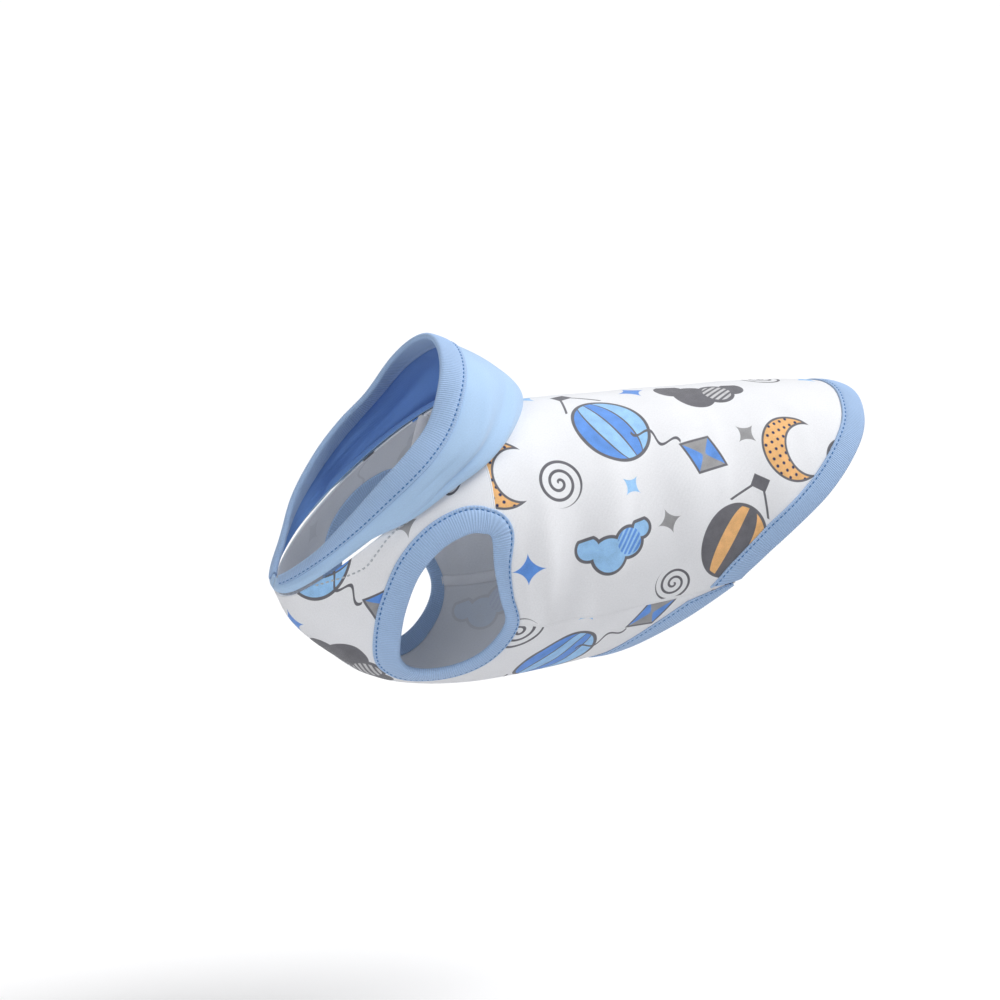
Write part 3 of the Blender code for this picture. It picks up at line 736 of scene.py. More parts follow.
class Graph:
    """Adds nodes to a tree and links them in one call."""

    def __init__(self, tree):
        self.tree = tree

    def put(self, socket, value):
        """Link an output to a socket, or set the socket's own value."""
        if isinstance(value, bpy.types.NodeSocket):
            self.tree.links.new(value, socket)
        else:
            socket.default_value = value

    def node(self, kind, inputs=None, **settings):
        """Node of a kind with its settings and inputs."""
        node = self.tree.nodes.new(kind)
        for name, value in settings.items():
            setattr(node, name, value)
        for name, value in (inputs or {}).items():
            self.put(node.inputs[name], value)
        return node

    def math(self, operation, *values, clamp=False):
        """Result of a Math node."""
        node = self.node("ShaderNodeMath", dict(enumerate(values)), operation=operation)
        node.use_clamp = clamp
        return node.outputs[0]

    def vector(self, operation, *values):
        """Result of a Vector Math node, a number where it gives one."""
        node = self.node("ShaderNodeVectorMath", dict(enumerate(values)), operation=operation)
        return node.outputs["Value" if operation == "LENGTH" else "Vector"]

    def mix(self, factor, first, second):
        """Second colour over the first, by a factor."""
        node = self.node("ShaderNodeMix", data_type="RGBA")
        self.put(node.inputs[0], factor)
        self.put(node.inputs[6], first)
        self.put(node.inputs[7], second)
        return node.outputs[2]

    def below(self, value, limit, soft):
        """One where a value is under a limit, falling to zero over soft."""
        node = self.node(
            "ShaderNodeMapRange",
            {"Value": value, "From Min": limit, "From Max": self.math("ADD", limit, soft)
             if isinstance(limit, bpy.types.NodeSocket) or isinstance(soft, bpy.types.NodeSocket)
             else limit + soft, "To Min": 1.0, "To Max": 0.0},
            clamp=True,
        )
        return node.outputs[0]

    def parts(self, vector):
        """X and Y of a vector."""
        node = self.node("ShaderNodeSeparateXYZ", {"Vector": vector})
        return node.outputs[0], node.outputs[1]


def new_group(name, inputs, outputs):
    """Empty shader node group with named inputs and outputs."""
    tree = bpy.data.node_groups.new(name, "ShaderNodeTree")
    for label, kind, value in inputs:
        socket = tree.interface.new_socket(label, in_out="INPUT", socket_type=kind)
        if value is not None:
            socket.default_value = value
    for label, kind in outputs:
        tree.interface.new_socket(label, in_out="OUTPUT", socket_type=kind)
    graph = Graph(tree)
    given = tree.nodes.new("NodeGroupInput").outputs
    result = tree.nodes.new("NodeGroupOutput").inputs
    return graph, given, result


VALUE, VECTOR, COLOUR = "NodeSocketFloat", "NodeSocketVector", "NodeSocketColor"
MOTIF_INPUTS = (
    ("Place", VECTOR, None),
    ("Soft", VALUE, 0.02),
    ("Main", COLOUR, (0.2, 0.4, 0.8, 1)),
    ("Second", COLOUR, (0.6, 0.6, 0.6, 1)),
    ("Line", COLOUR, (0.12, 0.12, 0.13, 1)),
)
MOTIF_OUTPUTS = (("Colour", COLOUR), ("Mask", VALUE))


def motif_group(name, draw):
    """Group of one printed motif, about two units across, drawn once."""
    found = bpy.data.node_groups.get(name)
    if found:
        return found
    graph, given, result = new_group(name, MOTIF_INPUTS, MOTIF_OUTPUTS)
    x, y = graph.parts(given["Place"])
    colour, mask = draw(graph, given, x, y)
    graph.put(result["Colour"], colour)
    graph.put(result["Mask"], mask)
    return graph.tree


def disc(graph, x, y, centre_x, centre_y, radius):
    """Distance outside a circle."""
    dx = graph.math("SUBTRACT", x, centre_x)
    dy = graph.math("SUBTRACT", y, centre_y)
    square = graph.math("ADD", graph.math("MULTIPLY", dx, dx), graph.math("MULTIPLY", dy, dy))
    return graph.math("SUBTRACT", graph.math("SQRT", square), radius)


def slab(graph, x, y, centre_x, centre_y, half_x, half_y):
    """Distance outside a rectangle, measured along its axes."""
    dx = graph.math("SUBTRACT", graph.math("ABSOLUTE", graph.math("SUBTRACT", x, centre_x)), half_x)
    dy = graph.math("SUBTRACT", graph.math("ABSOLUTE", graph.math("SUBTRACT", y, centre_y)), half_y)
    return graph.math("MAXIMUM", dx, dy)


def outlined(graph, given, distance, fill, width):
    """Filled shape with a drawn line just inside its edge."""
    inside = graph.below(graph.math("ADD", distance, width), 0.0, given["Soft"])
    return graph.mix(inside, given["Line"], fill), graph.below(distance, 0.0, given["Soft"])


def draw_balloon(graph, given, x, y):
    """Hot-air balloon: a round envelope with curved gores, a basket, ropes."""
    up = graph.math("SUBTRACT", y, 0.28)
    tall = graph.math("MULTIPLY", up, 0.94)
    square = graph.math("ADD", graph.math("MULTIPLY", x, x), graph.math("MULTIPLY", tall, tall))
    envelope = graph.math("SUBTRACT", graph.math("SQRT", square), 0.66)
    ball = graph.math("SUBTRACT", 0.48, graph.math("MULTIPLY", tall, tall))
    girth = graph.math("SQRT", graph.math("MAXIMUM", ball, 0.02))
    gore = graph.math("SINE", graph.math("MULTIPLY", graph.math("DIVIDE", x, girth), 7.0))
    striped = graph.mix(graph.below(gore, 0.0, 0.12), given["Main"], given["Second"])
    rim = graph.math("ABSOLUTE", graph.math("ADD", gore, -0.06))
    striped = graph.mix(graph.below(rim, 0.14, 0.08), striped, given["Line"])
    colour, mask = outlined(graph, given, envelope, striped, 0.055)
    basket = slab(graph, x, y, 0.0, -0.86, 0.15, 0.11)
    spread = graph.math("MULTIPLY", graph.math("ADD", y, 0.75), 0.75)
    slant = graph.math("ABSOLUTE", graph.math("SUBTRACT", graph.math("ABSOLUTE", x),
                                              graph.math("ADD", spread, 0.13)))
    rope = graph.math("MAXIMUM", graph.math("SUBTRACT", slant, 0.022),
                      graph.math("SUBTRACT", graph.math("ABSOLUTE", graph.math("ADD", y, 0.56)), 0.20))
    drawn = graph.below(graph.math("MINIMUM", basket, rope), 0.0, given["Soft"])
    return graph.mix(mask, given["Line"], colour), graph.math("MAXIMUM", mask, drawn)


def draw_cloud(graph, given, x, y):
    """Cloud: four round puffs on a level base, one puff hatched."""
    puffs = ((-0.56, -0.12, 0.30), (-0.14, 0.14, 0.42), (0.34, 0.02, 0.36), (0.70, -0.16, 0.24))
    cloud = disc(graph, x, y, *puffs[0])
    for puff in puffs[1:]:
        cloud = graph.math("MINIMUM", cloud, disc(graph, x, y, *puff))
    cloud = graph.math("MAXIMUM", cloud, graph.math("SUBTRACT", -0.36, y))
    hatch = graph.math("SINE", graph.math("MULTIPLY", graph.math("ADD", x, y), 42.0))
    hatched = graph.math("MULTIPLY", graph.below(hatch, -0.1, 0.5),
                         graph.below(disc(graph, x, y, 0.36, 0.0, 0.28), 0.0, given["Soft"]))
    fill = graph.mix(hatched, given["Main"], given["Second"])
    return outlined(graph, given, cloud, fill, 0.07)


def draw_moon(graph, given, x, y):
    """Crescent moon with small dots."""
    moon = graph.math("MAXIMUM", disc(graph, x, y, 0.0, 0.0, 0.86),
                      graph.math("MULTIPLY", disc(graph, x, y, 0.42, 0.20, 0.66), -1.0))
    dots = graph.vector("MULTIPLY", given["Place"], (5.2, 5.2, 0.0))
    cell = graph.vector("SUBTRACT", graph.vector("FRACTION", graph.vector("ADD", dots, (40.0, 40.3, 0.0))),
                        (0.5, 0.5, 0.0))
    dot = graph.below(graph.vector("LENGTH", cell), 0.15, 0.12)
    fill = graph.mix(dot, given["Main"], given["Second"])
    return outlined(graph, given, moon, fill, 0.06)


def draw_kite(graph, given, x, y):
    """Kite: a diamond in quarters with a wavy tail."""
    wide = graph.math("DIVIDE", graph.math("ABSOLUTE", x), 0.58)
    up = graph.math("SUBTRACT", y, 0.25)
    tall = graph.math("DIVIDE", graph.math("ABSOLUTE", up), 0.72)
    diamond = graph.math("MULTIPLY", graph.math("SUBTRACT", graph.math("ADD", wide, tall), 1.0), 0.42)
    quarter = graph.below(graph.math("MULTIPLY", x, up), 0.0, 0.004)
    fill = graph.mix(quarter, given["Main"], given["Second"])
    colour, mask = outlined(graph, given, diamond, fill, 0.06)
    wave = graph.math("MULTIPLY", graph.math("SINE", graph.math("MULTIPLY", y, 8.5)), 0.16)
    tail = graph.math("MAXIMUM",
                      graph.math("SUBTRACT", graph.math("ABSOLUTE", graph.math("SUBTRACT", x, wave)), 0.040),
                      graph.math("SUBTRACT", graph.math("ABSOLUTE", graph.math("ADD", y, 1.10)), 0.66))
    drawn = graph.below(tail, 0.0, given["Soft"])
    return graph.mix(mask, given["Line"], colour), graph.math("MAXIMUM", mask, drawn)


def draw_swirl(graph, given, x, y):
    """Thin spiral stroke of two and a half turns."""
    radius = graph.vector("LENGTH", given["Place"])
    turn = graph.math("DIVIDE", graph.math("ARCTAN2", y, x), 2 * np.pi)
    phase = graph.math("FRACT", graph.math("ADD", graph.math("SUBTRACT",
                       graph.math("DIVIDE", radius, 0.36), turn), 8.0))
    line = graph.math("MULTIPLY", graph.math("ABSOLUTE", graph.math("SUBTRACT", phase, 0.5)), 0.36)
    stroke = graph.below(line, 0.052, given["Soft"])
    return given["Main"], graph.math("MULTIPLY", stroke, graph.below(radius, 0.94, given["Soft"]))


def draw_sparkle(graph, given, x, y):
    """Four-pointed sparkle with hollow sides."""
    reach = graph.math("ADD", graph.math("POWER", graph.math("ABSOLUTE", x), 0.62),
                       graph.math("POWER", graph.math("ABSOLUTE", y), 0.62))
    return given["Main"], graph.below(reach, 1.0, 0.06)


MOTIFS = {
    "balloon": draw_balloon,
    "cloud": draw_cloud,
    "moon": draw_moon,
    "kite": draw_kite,
    "swirl": draw_swirl,
    "sparkle": draw_sparkle,
}


def print_group():
    """The whole print: every motif of one repeat, wrapped over the cloth."""
    found = bpy.data.node_groups.get("nursery_print")
    if found:
        return found
    graph, given, result = new_group(
        "nursery_print",
        (("Place", VECTOR, None), ("Ground", COLOUR, (1, 1, 1, 1))),
        (("Colour", COLOUR), ("Mask", VALUE)),
    )
    colour, cover = given["Ground"], None
    for row in PRINT_ROWS:
        moved = graph.vector("SUBTRACT", given["Place"], (row.x, row.y, 0.0))
        half = (REPEAT[0] / 2, REPEAT[1] / 2, 1.0)
        wrapped = graph.node(
            "ShaderNodeVectorMath", {0: moved, 1: half, 2: tuple(-side for side in half)},
            operation="WRAP",
        ).outputs["Vector"]
        turned = graph.node(
            "ShaderNodeVectorRotate", {"Vector": wrapped, "Angle": np.radians(row.turn)},
            rotation_type="Z_AXIS",
        ).outputs["Vector"]
        place = graph.vector("MULTIPLY", turned, (1 / row.size, 1 / row.size, 0.0))
        motif = graph.node("ShaderNodeGroup", node_tree=motif_group(row.motif, MOTIFS[row.motif]))
        graph.put(motif.inputs["Place"], place)
        graph.put(motif.inputs["Soft"], 0.25 / row.size)
        graph.put(motif.inputs["Main"], linear(PRINT_COLOURS[row.main]))
        graph.put(motif.inputs["Second"], linear(PRINT_COLOURS[row.second]))
        graph.put(motif.inputs["Line"], linear(PRINT_COLOURS["grey"]))
        mask = motif.outputs["Mask"]
        colour = graph.mix(mask, colour, motif.outputs["Colour"])
        cover = mask if cover is None else graph.math("MAXIMUM", cover, mask)
    wash = graph.node("ShaderNodeTexNoise", {"Vector": given["Place"], "Scale": 0.22, "Detail": 3.0})
    grain = graph.node("ShaderNodeTexNoise", {"Vector": given["Place"], "Scale": 2.5, "Detail": 2.0})
    tone = graph.math("ADD", graph.math("MULTIPLY", wash.outputs[0], 0.55),
                      graph.math("MULTIPLY", grain.outputs[0], 0.35))
    ink = graph.mix(cover, (1.0, 1.0, 1.0, 1.0), shaded(graph, (1.0, 1.0, 1.0),
                    graph.math("ADD", tone, 0.58)))
    graph.put(result["Colour"], graph.vector("MULTIPLY", colour, ink))
    graph.put(result["Mask"], cover)
    return graph.tree


def knit_group():
    """Fine jersey knit: columns of slanted loops and a soft fuzz, with painted
    shade in their low parts, and a slow random change of tone."""
    found = bpy.data.node_groups.get("jersey_knit")
    if found:
        return found
    graph, given, result = new_group(
        "jersey_knit",
        (("Place", VECTOR, None), ("Wale", VALUE, 0.5), ("Course", VALUE, 0.4)),
        (("Height", VALUE), ("Shade", VALUE)),
    )
    x, y = graph.parts(given["Place"])
    wale = graph.math("DIVIDE", x, given["Wale"])
    bent = graph.math("PINGPONG", wale, 0.5)
    course = graph.math("ADD", graph.math("DIVIDE", y, given["Course"]), bent)
    loop = graph.math("SINE", graph.math("MULTIPLY", course, 2 * np.pi))
    column = graph.math("COSINE", graph.math("MULTIPLY", wale, 2 * np.pi))
    knit = graph.math("ADD", graph.math("MULTIPLY", loop, 0.30), graph.math("MULTIPLY", column, 0.30))
    fuzz = graph.node("ShaderNodeTexNoise", {"Vector": given["Place"], "Scale": 1.4, "Detail": 4.0,
                                             "Roughness": 0.65})
    slow = graph.node("ShaderNodeTexNoise", {"Vector": given["Place"], "Scale": 0.05, "Detail": 2.0})
    rough = graph.math("SUBTRACT", fuzz.outputs[0], 0.5)
    graph.put(result["Height"], graph.math("ADD", knit, graph.math("MULTIPLY", rough, 1.4)))
    # The low parts of the knit loops and of the fuzz are darker, which is painted shade. The slow noise is a
    # random change of tone.
    shade = graph.math("ADD", graph.math("MULTIPLY", knit, 0.05), graph.math("MULTIPLY", rough, 0.22))
    slow_tone = graph.math("MULTIPLY", graph.math("SUBTRACT", slow.outputs[0], 0.5), 0.10)
    graph.put(result["Shade"], graph.math("ADD", graph.math("ADD", shade, slow_tone), 1.0))
    return graph.tree


def new_material(name):
    """Material with a graph and its shader."""
    material = bpy.data.materials.new(name)
    material.use_nodes = True
    graph = Graph(material.node_tree)
    return material, graph, material.node_tree.nodes["Principled BSDF"]


def cloth_place(graph, scale=1000.0):
    """Place on the cloth, in millimetres along its own map."""
    uv = graph.node("ShaderNodeUVMap", uv_map="cloth_map").outputs[0]
    return graph.vector("MULTIPLY", uv, (scale, scale, 0.0))


def finish_cloth(graph, shader, colour, height, bump, sheen):
    """Shared end of every cloth material: colour, bump, dull surface, sheen."""
    graph.put(shader.inputs["Base Color"], colour)
    relief = graph.node("ShaderNodeBump", {"Height": height, "Strength": bump, "Distance": 0.00012})
    graph.put(shader.inputs["Normal"], relief.outputs[0])
    shader.inputs["Roughness"].default_value = 0.88
    shader.inputs["Specular IOR Level"].default_value = 0.25
    shader.inputs["Sheen Weight"].default_value = sheen
    shader.inputs["Sheen Roughness"].default_value = 0.45


def shaded(graph, colour, shade):
    """Colour made lighter or darker by a shade around one."""
    tone = graph.node("ShaderNodeCombineXYZ", {"X": shade, "Y": shade, "Z": shade}).outputs[0]
    flat = colour[:3] if isinstance(colour, tuple) else colour
    return graph.vector("MULTIPLY", flat, tone)


def jersey_material(name, colour, printed=0.0, sheen=0.25, wale=0.55):
    """Cotton jersey: knit loops and fuzz with painted shade in their low parts, a slow random change of
    tone, with the print on it.
    """
    material, graph, shader = new_material(name)
    place = cloth_place(graph)
    knit = graph.node("ShaderNodeGroup", {}, node_tree=knit_group())
    graph.put(knit.inputs["Place"], place)
    knit.inputs["Wale"].default_value = wale
    knit.inputs["Course"].default_value = wale * 0.8
    ground = linear(colour)
    if printed > 0:
        scaled = graph.vector("MULTIPLY", place, (1 / sizes().print_size,) * 2 + (0.0,))
        picture = graph.node("ShaderNodeGroup", {}, node_tree=print_group())
        graph.put(picture.inputs["Place"], scaled)
        picture.inputs["Ground"].default_value = ground
        cover = graph.math("MULTIPLY", picture.outputs["Mask"], printed)
        tint = graph.mix(cover, ground, picture.outputs["Colour"])
    else:
        tint = ground
    colour_out = shaded(graph, tint, knit.outputs["Shade"])
    finish_cloth(graph, shader, colour_out, knit.outputs["Height"], 0.55, sheen)
    return material


def rib_material():
    """Rib knit: fine ribs across the band, loops on each, painted shade in the grooves between the ribs."""
    material, graph, shader = new_material("blue_rib_knit")
    place = cloth_place(graph)
    x, y = graph.parts(place)
    pitch = sizes().rib_pitch / MM
    ribs = graph.math("COSINE", graph.math("MULTIPLY", x, 2 * np.pi / pitch))
    loops = graph.math("SINE", graph.math("MULTIPLY", y, 2 * np.pi / 0.45))
    fuzz = graph.node("ShaderNodeTexNoise", {"Vector": place, "Scale": 1.8, "Detail": 4.0})
    rough = graph.math("SUBTRACT", fuzz.outputs[0], 0.5)
    slow = graph.node("ShaderNodeTexNoise", {"Vector": place, "Scale": 0.12, "Detail": 2.0})
    height = graph.math("ADD", graph.math("MULTIPLY", ribs, 0.5),
                        graph.math("ADD", graph.math("MULTIPLY", loops, 0.14), rough))
    # The colour follows the relief. This is painted shade in the grooves between the ribs and in the low
    # spots of the fuzz, which also gives random tone. The slow noise adds a random change of tone.
    shade = graph.math("ADD", 0.97, graph.math("ADD", graph.math("MULTIPLY", ribs, 0.075),
                       graph.math("MULTIPLY", rough, 0.20)))
    shade = graph.math("ADD", shade, graph.math("MULTIPLY",
                       graph.math("SUBTRACT", slow.outputs[0], 0.5), 0.10))
    colour = shaded(graph, linear(colours().binding), shade)
    finish_cloth(graph, shader, colour, height, 0.7, 0.3)
    return material


def thread_material(name, colour):
    """Sewing thread: a fine slanted twist, with painted shade in the grooves of the twist."""
    material, graph, shader = new_material(name)
    place = graph.node("ShaderNodeTexCoord").outputs["Object"]
    wave = graph.node("ShaderNodeTexWave", {"Vector": place, "Scale": 900.0, "Distortion": 0.0},
                      bands_direction="DIAGONAL")
    # The lower bands of the twist are darker, which is painted shade in its grooves.
    shade = graph.math("ADD", 0.86, graph.math("MULTIPLY", wave.outputs["Fac"], 0.28))
    graph.put(shader.inputs["Base Color"], shaded(graph, linear(colour), shade))
    relief = graph.node("ShaderNodeBump", {"Height": wave.outputs["Fac"], "Strength": 0.5,
                                           "Distance": 0.00008})
    graph.put(shader.inputs["Normal"], relief.outputs[0])
    shader.inputs["Roughness"].default_value = 0.6
    shader.inputs["Sheen Weight"].default_value = 0.2
    return material


def cached(name, build, *values, **settings):
    """Material by name, made the first time that it is asked for."""
    return bpy.data.materials.get(name) or build(name, *values, **settings)


def printed_jersey():
    """Outside and inside of the printed white jersey."""
    return (
        cached("printed_jersey", jersey_material, colours().white, printed=1.0),
        cached("printed_jersey_inside", jersey_material, colours().inside, printed=0.16),
    )


def hood_jersey():
    """Outside of the light blue hood, and its inside: the same cloth in a darker, bluer colour, which is
    painted shade of the hood's hollow.
    """
    return (
        cached("hood_jersey", jersey_material, colours().hood, sheen=0.35),
        cached("hood_jersey_inside", jersey_material, colours().hood_inside_painted_shade, sheen=0.2),
    )


def body_map(angle, station, from_belly):
    """Place on the flat cloth: distance around the ring from the back or the
    belly line, squared to the body's axis, and distance along the body."""
    start = np.pi if from_belly else 0.0
    steps = np.linspace(0, 1, 33)
    fan = start + (angle[..., None] - start) * steps
    rings = body_ring(fan, np.broadcast_to(station[..., None], fan.shape))
    if from_belly:
        pieces = np.linalg.norm(np.diff(rings, axis=-2), axis=-1)
    else:
        pieces = np.linalg.norm(np.diff(rings[..., (0, 2)], axis=-2), axis=-1)
    around = pieces.sum(axis=-1) + 0.5
    if not from_belly:
        return np.stack([rings[..., -1, 1], around], axis=-1)
    rows = np.linspace(0, len(BODY_SECTIONS) - 1, 200)
    along = path_length(body_ring(np.full(200, np.pi), rows))
    return np.stack([np.interp(station, rows, along) - 0.095, around], axis=-1)


def back_domain(front_steps, rows):
    """Left half of the back panel: its front edge runs along the neckline,
    the shoulder seam and the armhole, its lines run back to the tail hem."""
    neck_steps, shoulder_steps, rear_steps = front_steps
    neckline = NECKLINE[::-1]
    shoulder_row = len(NECKLINE) - 1 - NECKLINE_SHOULDER_ROW
    neck = sample(neckline, even(neck_steps), last=shoulder_row)
    shoulder = sample(SHOULDER_SEAM, even(shoulder_steps))
    shoulder[:, 1] += station_gap(shoulder) * SHOULDER_GAP_SHARE
    loop = ARMHOLE + ARMHOLE[:1]
    rear = sample(loop, even(rear_steps), first=ARMHOLE_SIDE_ROW, closed=True)[::-1]
    front = np.concatenate([neck[:-1], shoulder, rear[1:]])
    front[:, 0] -= side_gap() * even(len(front) - 1) ** 8
    return ruled(front, back_hem_edge(len(front) - 1), even(rows))


def chest_domain(side_steps, centre_steps, front_steps, columns):
    """Left half of the chest panel: its inner edge runs up the belly and
    breast and along the neckline, its outer edge up the side seam and the
    armhole; its ends are bent onto the belly hem and the shoulder seam."""
    side = sample((BELLY_HEM[-1], ARMHOLE[ARMHOLE_SIDE_ROW]), even(side_steps))
    side[:, 0] += side_gap()
    loop = ARMHOLE + ARMHOLE[:1]
    front = sample(loop, even(front_steps), last=ARMHOLE_SIDE_ROW, closed=True)[::-1]
    outer = np.concatenate([side, front[1:]])
    belly = sample(CHEST_CENTRE, even(side_steps), last=1)
    breast = sample(CHEST_CENTRE, even(centre_steps), first=1)
    neck = sample(NECKLINE, even(front_steps - centre_steps), last=NECKLINE_SHOULDER_ROW)
    inner = np.concatenate([belly, breast[1:], neck[1:]])
    shares = even(columns)
    shoulder = sample(SHOULDER_SEAM, shares)
    shoulder[:, 1] -= station_gap(shoulder) * SHOULDER_GAP_SHARE
    reach = side_steps * 2 // 3
    domain = bend_to(ruled(inner, outer, shares), belly_hem_edge(columns), reach)
    return bend_to(domain[::-1], shoulder, reach)[::-1]


def make_panel(name, domain, from_belly, node):
    """Panel of printed jersey: half of it from its grid, mirrored with its map
    turned over about the middle line, so that the print runs on across it."""
    points = drape(domain[..., 0], domain[..., 1])
    on_mirror = np.abs(np.sin(domain[..., 0])) < MIRROR_REACH
    points[..., 0] = np.where(on_mirror, 0.0, points[..., 0])
    places = body_map(domain[..., 0], domain[..., 1], from_belly)
    faces = grid_faces(*domain.shape[:2])
    panel = make_piece(name, points, faces[:, ::-1] if from_belly else faces,
                       printed_jersey(), places)
    mirror = panel.modifiers.new("mirror", "MIRROR")
    mirror.use_axis = (True, False, False)
    mirror.merge_threshold = 0.00005
    mirror.use_mirror_v = True
    add_wall(panel, sizes().cloth_thickness)
    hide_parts(node)
    return panel


def track_across(surface, edge, along, width, lean, count):
    """Places and normals on a surface at even steps inward from an edge,
    square to it or leaning along it; each step is walked on the surface."""
    place = edge.copy()
    middles, outwards = [], []
    for step in range(count + 1):
        middle = surface(place[:, 0], place[:, 1])
        slope_a, slope_b = partials(surface, place[:, 0], place[:, 1])
        outward = unit(np.cross(slope_a, slope_b))
        middles.append(middle)
        outwards.append(outward)
        if step == count:
            break
        inward = np.cross(along, outward) + lean[:, None] * along
        aa, ab, bb = (np.sum(p * q, axis=1) for p, q in
                      ((slope_a, slope_a), (slope_a, slope_b), (slope_b, slope_b)))
        ra, rb = np.sum(slope_a * inward, axis=1), np.sum(slope_b * inward, axis=1)
        scale = (width / count / (aa * bb - ab**2))[:, None]
        place = place + scale * np.stack([ra * bb - rb * ab, rb * aa - ra * ab], axis=1)
    return np.stack(middles), np.stack(outwards)


def edge_directions(points, closed):
    """Unit directions along a row of points; an edge that ends on the mirror
    plane crosses it square."""
    if closed:
        return unit(np.roll(points, -1, axis=0) - np.roll(points, 1, axis=0))
    along = np.gradient(points, axis=0)
    on_mirror = np.abs(points[:, 0:1]) < MIRROR_REACH
    return unit(np.where(on_mirror, along * (1.0, 0.0, 0.0), along))


def at_track(stack, share):
    """Value between the tracks across a band."""
    place = np.clip(share, 0, 1) * (len(stack) - 1)
    low = int(min(np.floor(place), len(stack) - 2))
    return stack[low] + (stack[low + 1] - stack[low]) * (place - low)


def band_rings(surface, edge, width, closed=False, lean=None):
    """Cross-sections of a folded rib band round an edge, and the path of its
    stitches: every point of the profile stands off the cloth's own surface at
    its share across the band, raised by the ribs, a cosine along the edge."""
    lean = np.zeros(len(edge)) if lean is None else lean
    width = np.broadcast_to(width, len(edge))
    start = surface(edge[:, 0], edge[:, 1])
    along = edge_directions(start, closed)
    middles, outwards = track_across(surface, edge, along, width, lean, TRACKS)
    length = path_length(np.concatenate([start, start[:1]]) if closed else start)
    total = length[-1]
    length = length[:-1] if closed else length
    pitch = total / round(total / sizes().rib_pitch) if closed else sizes().rib_pitch
    wave = np.cos(2 * np.pi * length / pitch) * sizes().rib_height
    ahead = -(np.cross(along, outwards[0]) + lean[:, None] * along)
    rings, places = [], []
    for point in BAND_PROFILE:
        share = point.across
        outward = at_track(outwards, share)
        height = point.height * MM + np.sign(point.height) * wave * point.rib
        reach = point.ahead * MM + (wave * point.rib if point.ahead > 0 else 0)
        ring = at_track(middles, share) + np.reshape(height, (-1, 1)) * outward
        rings.append(ring + np.reshape(reach, (-1, 1)) * ahead)
        places.append(share * width + point.ahead * MM)
    places = np.stack([np.broadcast_to(length, (len(BAND_PROFILE), len(edge))),
                       np.stack(places)], axis=-1)
    stitch = at_track(middles, STITCH_ACROSS)
    raised = at_track(outwards, STITCH_ACROSS)
    return np.stack(rings, axis=1), places.transpose(1, 0, 2), stitch, raised


def make_band(name, rings, places, closed, node):
    """Band from its cross-sections, capped where it is open."""
    count, size = rings.shape[:2]
    faces = grid_faces(count, size, around=True, closed=closed)
    ends = () if closed else (range(size), range(count * size - 1, (count - 1) * size - 1, -1))
    band = make_piece(name, rings, faces, [cached_rib()], places, caps=ends)
    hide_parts(node)
    return band


def cached_rib():
    """Rib knit material, made once."""
    return bpy.data.materials.get("blue_rib_knit") or rib_material()


def both_sides(half, centre_first):
    """Points of a whole band from its left half, which ends or starts on the
    mirror plane."""
    mirrored = half * (-1.0, 1.0, 1.0)
    if centre_first:
        return np.concatenate([mirrored[::-1], half[1:]])
    return np.concatenate([half, mirrored[::-1][1:]])


def both_places(half, centre_first):
    """Map of a whole band from that of its left half."""
    if centre_first:
        return np.concatenate([half[::-1] * (-1.0, 1.0), half[1:]])
    turned = half[::-1][1:].copy()
    turned[..., 0] = 2 * half[-1, :, 0] - turned[..., 0]
    return np.concatenate([half, turned])


def steps_for(edge):
    """Mesh steps along an edge: some for every rib."""
    points = drape(edge[:, 0], edge[:, 1])
    return int(round(path_length(points)[-1] / sizes().rib_pitch * sizes().rib_steps))


def seam_slopes(edge, corner):
    """At a hem corner, how far the side seam runs along the hem and square to
    it, and the distance of every edge point from that corner."""
    points = drape(edge[:, 0], edge[:, 1])
    along = edge_directions(points, False)[corner]
    square = np.cross(along, normal(drape, *edge[corner]))
    seam_ends = table((BACK_HEM[-1], ARMHOLE[ARMHOLE_SIDE_ROW]))
    forward = edge[corner] + (seam_ends[1] - seam_ends[0]) * SEAM_PROBE
    seam = unit(drape(*forward) - points[corner])
    left = np.linalg.norm(points - points[corner], axis=1)
    return np.dot(seam, along), np.dot(seam, square), left


def make_stitches(name, path, outward, material, closed=False, sunk=0.25, height=0.92):
    """Row of stitches: capsules spaced evenly along a path, each bowed so that
    its ends sink into the cloth; all points come from one array product."""
    size = sizes()
    length = path_length(np.concatenate([path, path[:1]]) if closed else path)
    loop = np.concatenate([path, path[:1]]) if closed else path
    away = np.concatenate([outward, outward[:1]]) if closed else outward
    count = int(length[-1] // size.stitch_pitch)
    middle = (np.arange(count) + 0.5) * length[-1] / count
    half = size.stitch_length / 2
    ring = table_of(STITCH_RINGS)
    reach = middle[:, None] + ring[None, :, 0] * half
    spot = np.stack([np.interp(reach, length, loop[:, k]) for k in range(3)], axis=-1)
    lift = unit(np.stack([np.interp(reach, length, away[:, k]) for k in range(3)], axis=-1))
    ahead = unit(spot[:, -1] - spot[:, 0])[:, None]
    sideways = unit(np.cross(ahead, lift))
    turn = np.arange(STITCH_SIDES) * 2 * np.pi / STITCH_SIDES
    radius = size.stitch_width / 2
    level = height * MM - ring[None, :, 2, None] * radius * (1 + sunk)
    centre = spot + lift * level
    girth = (ring[:, 1] * radius)[None, :, None, None]
    circle = (np.cos(turn)[:, None] * sideways[:, :, None] + np.sin(turn)[:, None] * lift[:, :, None])
    points = centre[:, :, None] + girth * circle
    rings = len(ring)
    corner = np.arange(rings * STITCH_SIDES).reshape(rings, STITCH_SIDES)
    corner = np.concatenate([corner, corner[:, :1]], axis=1)
    quads = np.stack([corner[:-1, :-1], corner[:-1, 1:], corner[1:, 1:], corner[1:, :-1]], axis=-1)
    offset = np.arange(count)[:, None, None] * rings * STITCH_SIDES
    faces = (quads.reshape(1, -1, 4) + offset).reshape(-1, 4)
    first = (np.arange(STITCH_SIDES)[None] + offset[:, 0]).tolist()
    last = (np.arange(STITCH_SIDES)[::-1][None] + (rings - 1) * STITCH_SIDES + offset[:, 0]).tolist()
    return make_piece(name, points, faces, [material], None, caps=first + last)


def table_of(rows):
    """Rows of a named table as a plain array."""
    return np.array([tuple(row) for row in rows], dtype=float)


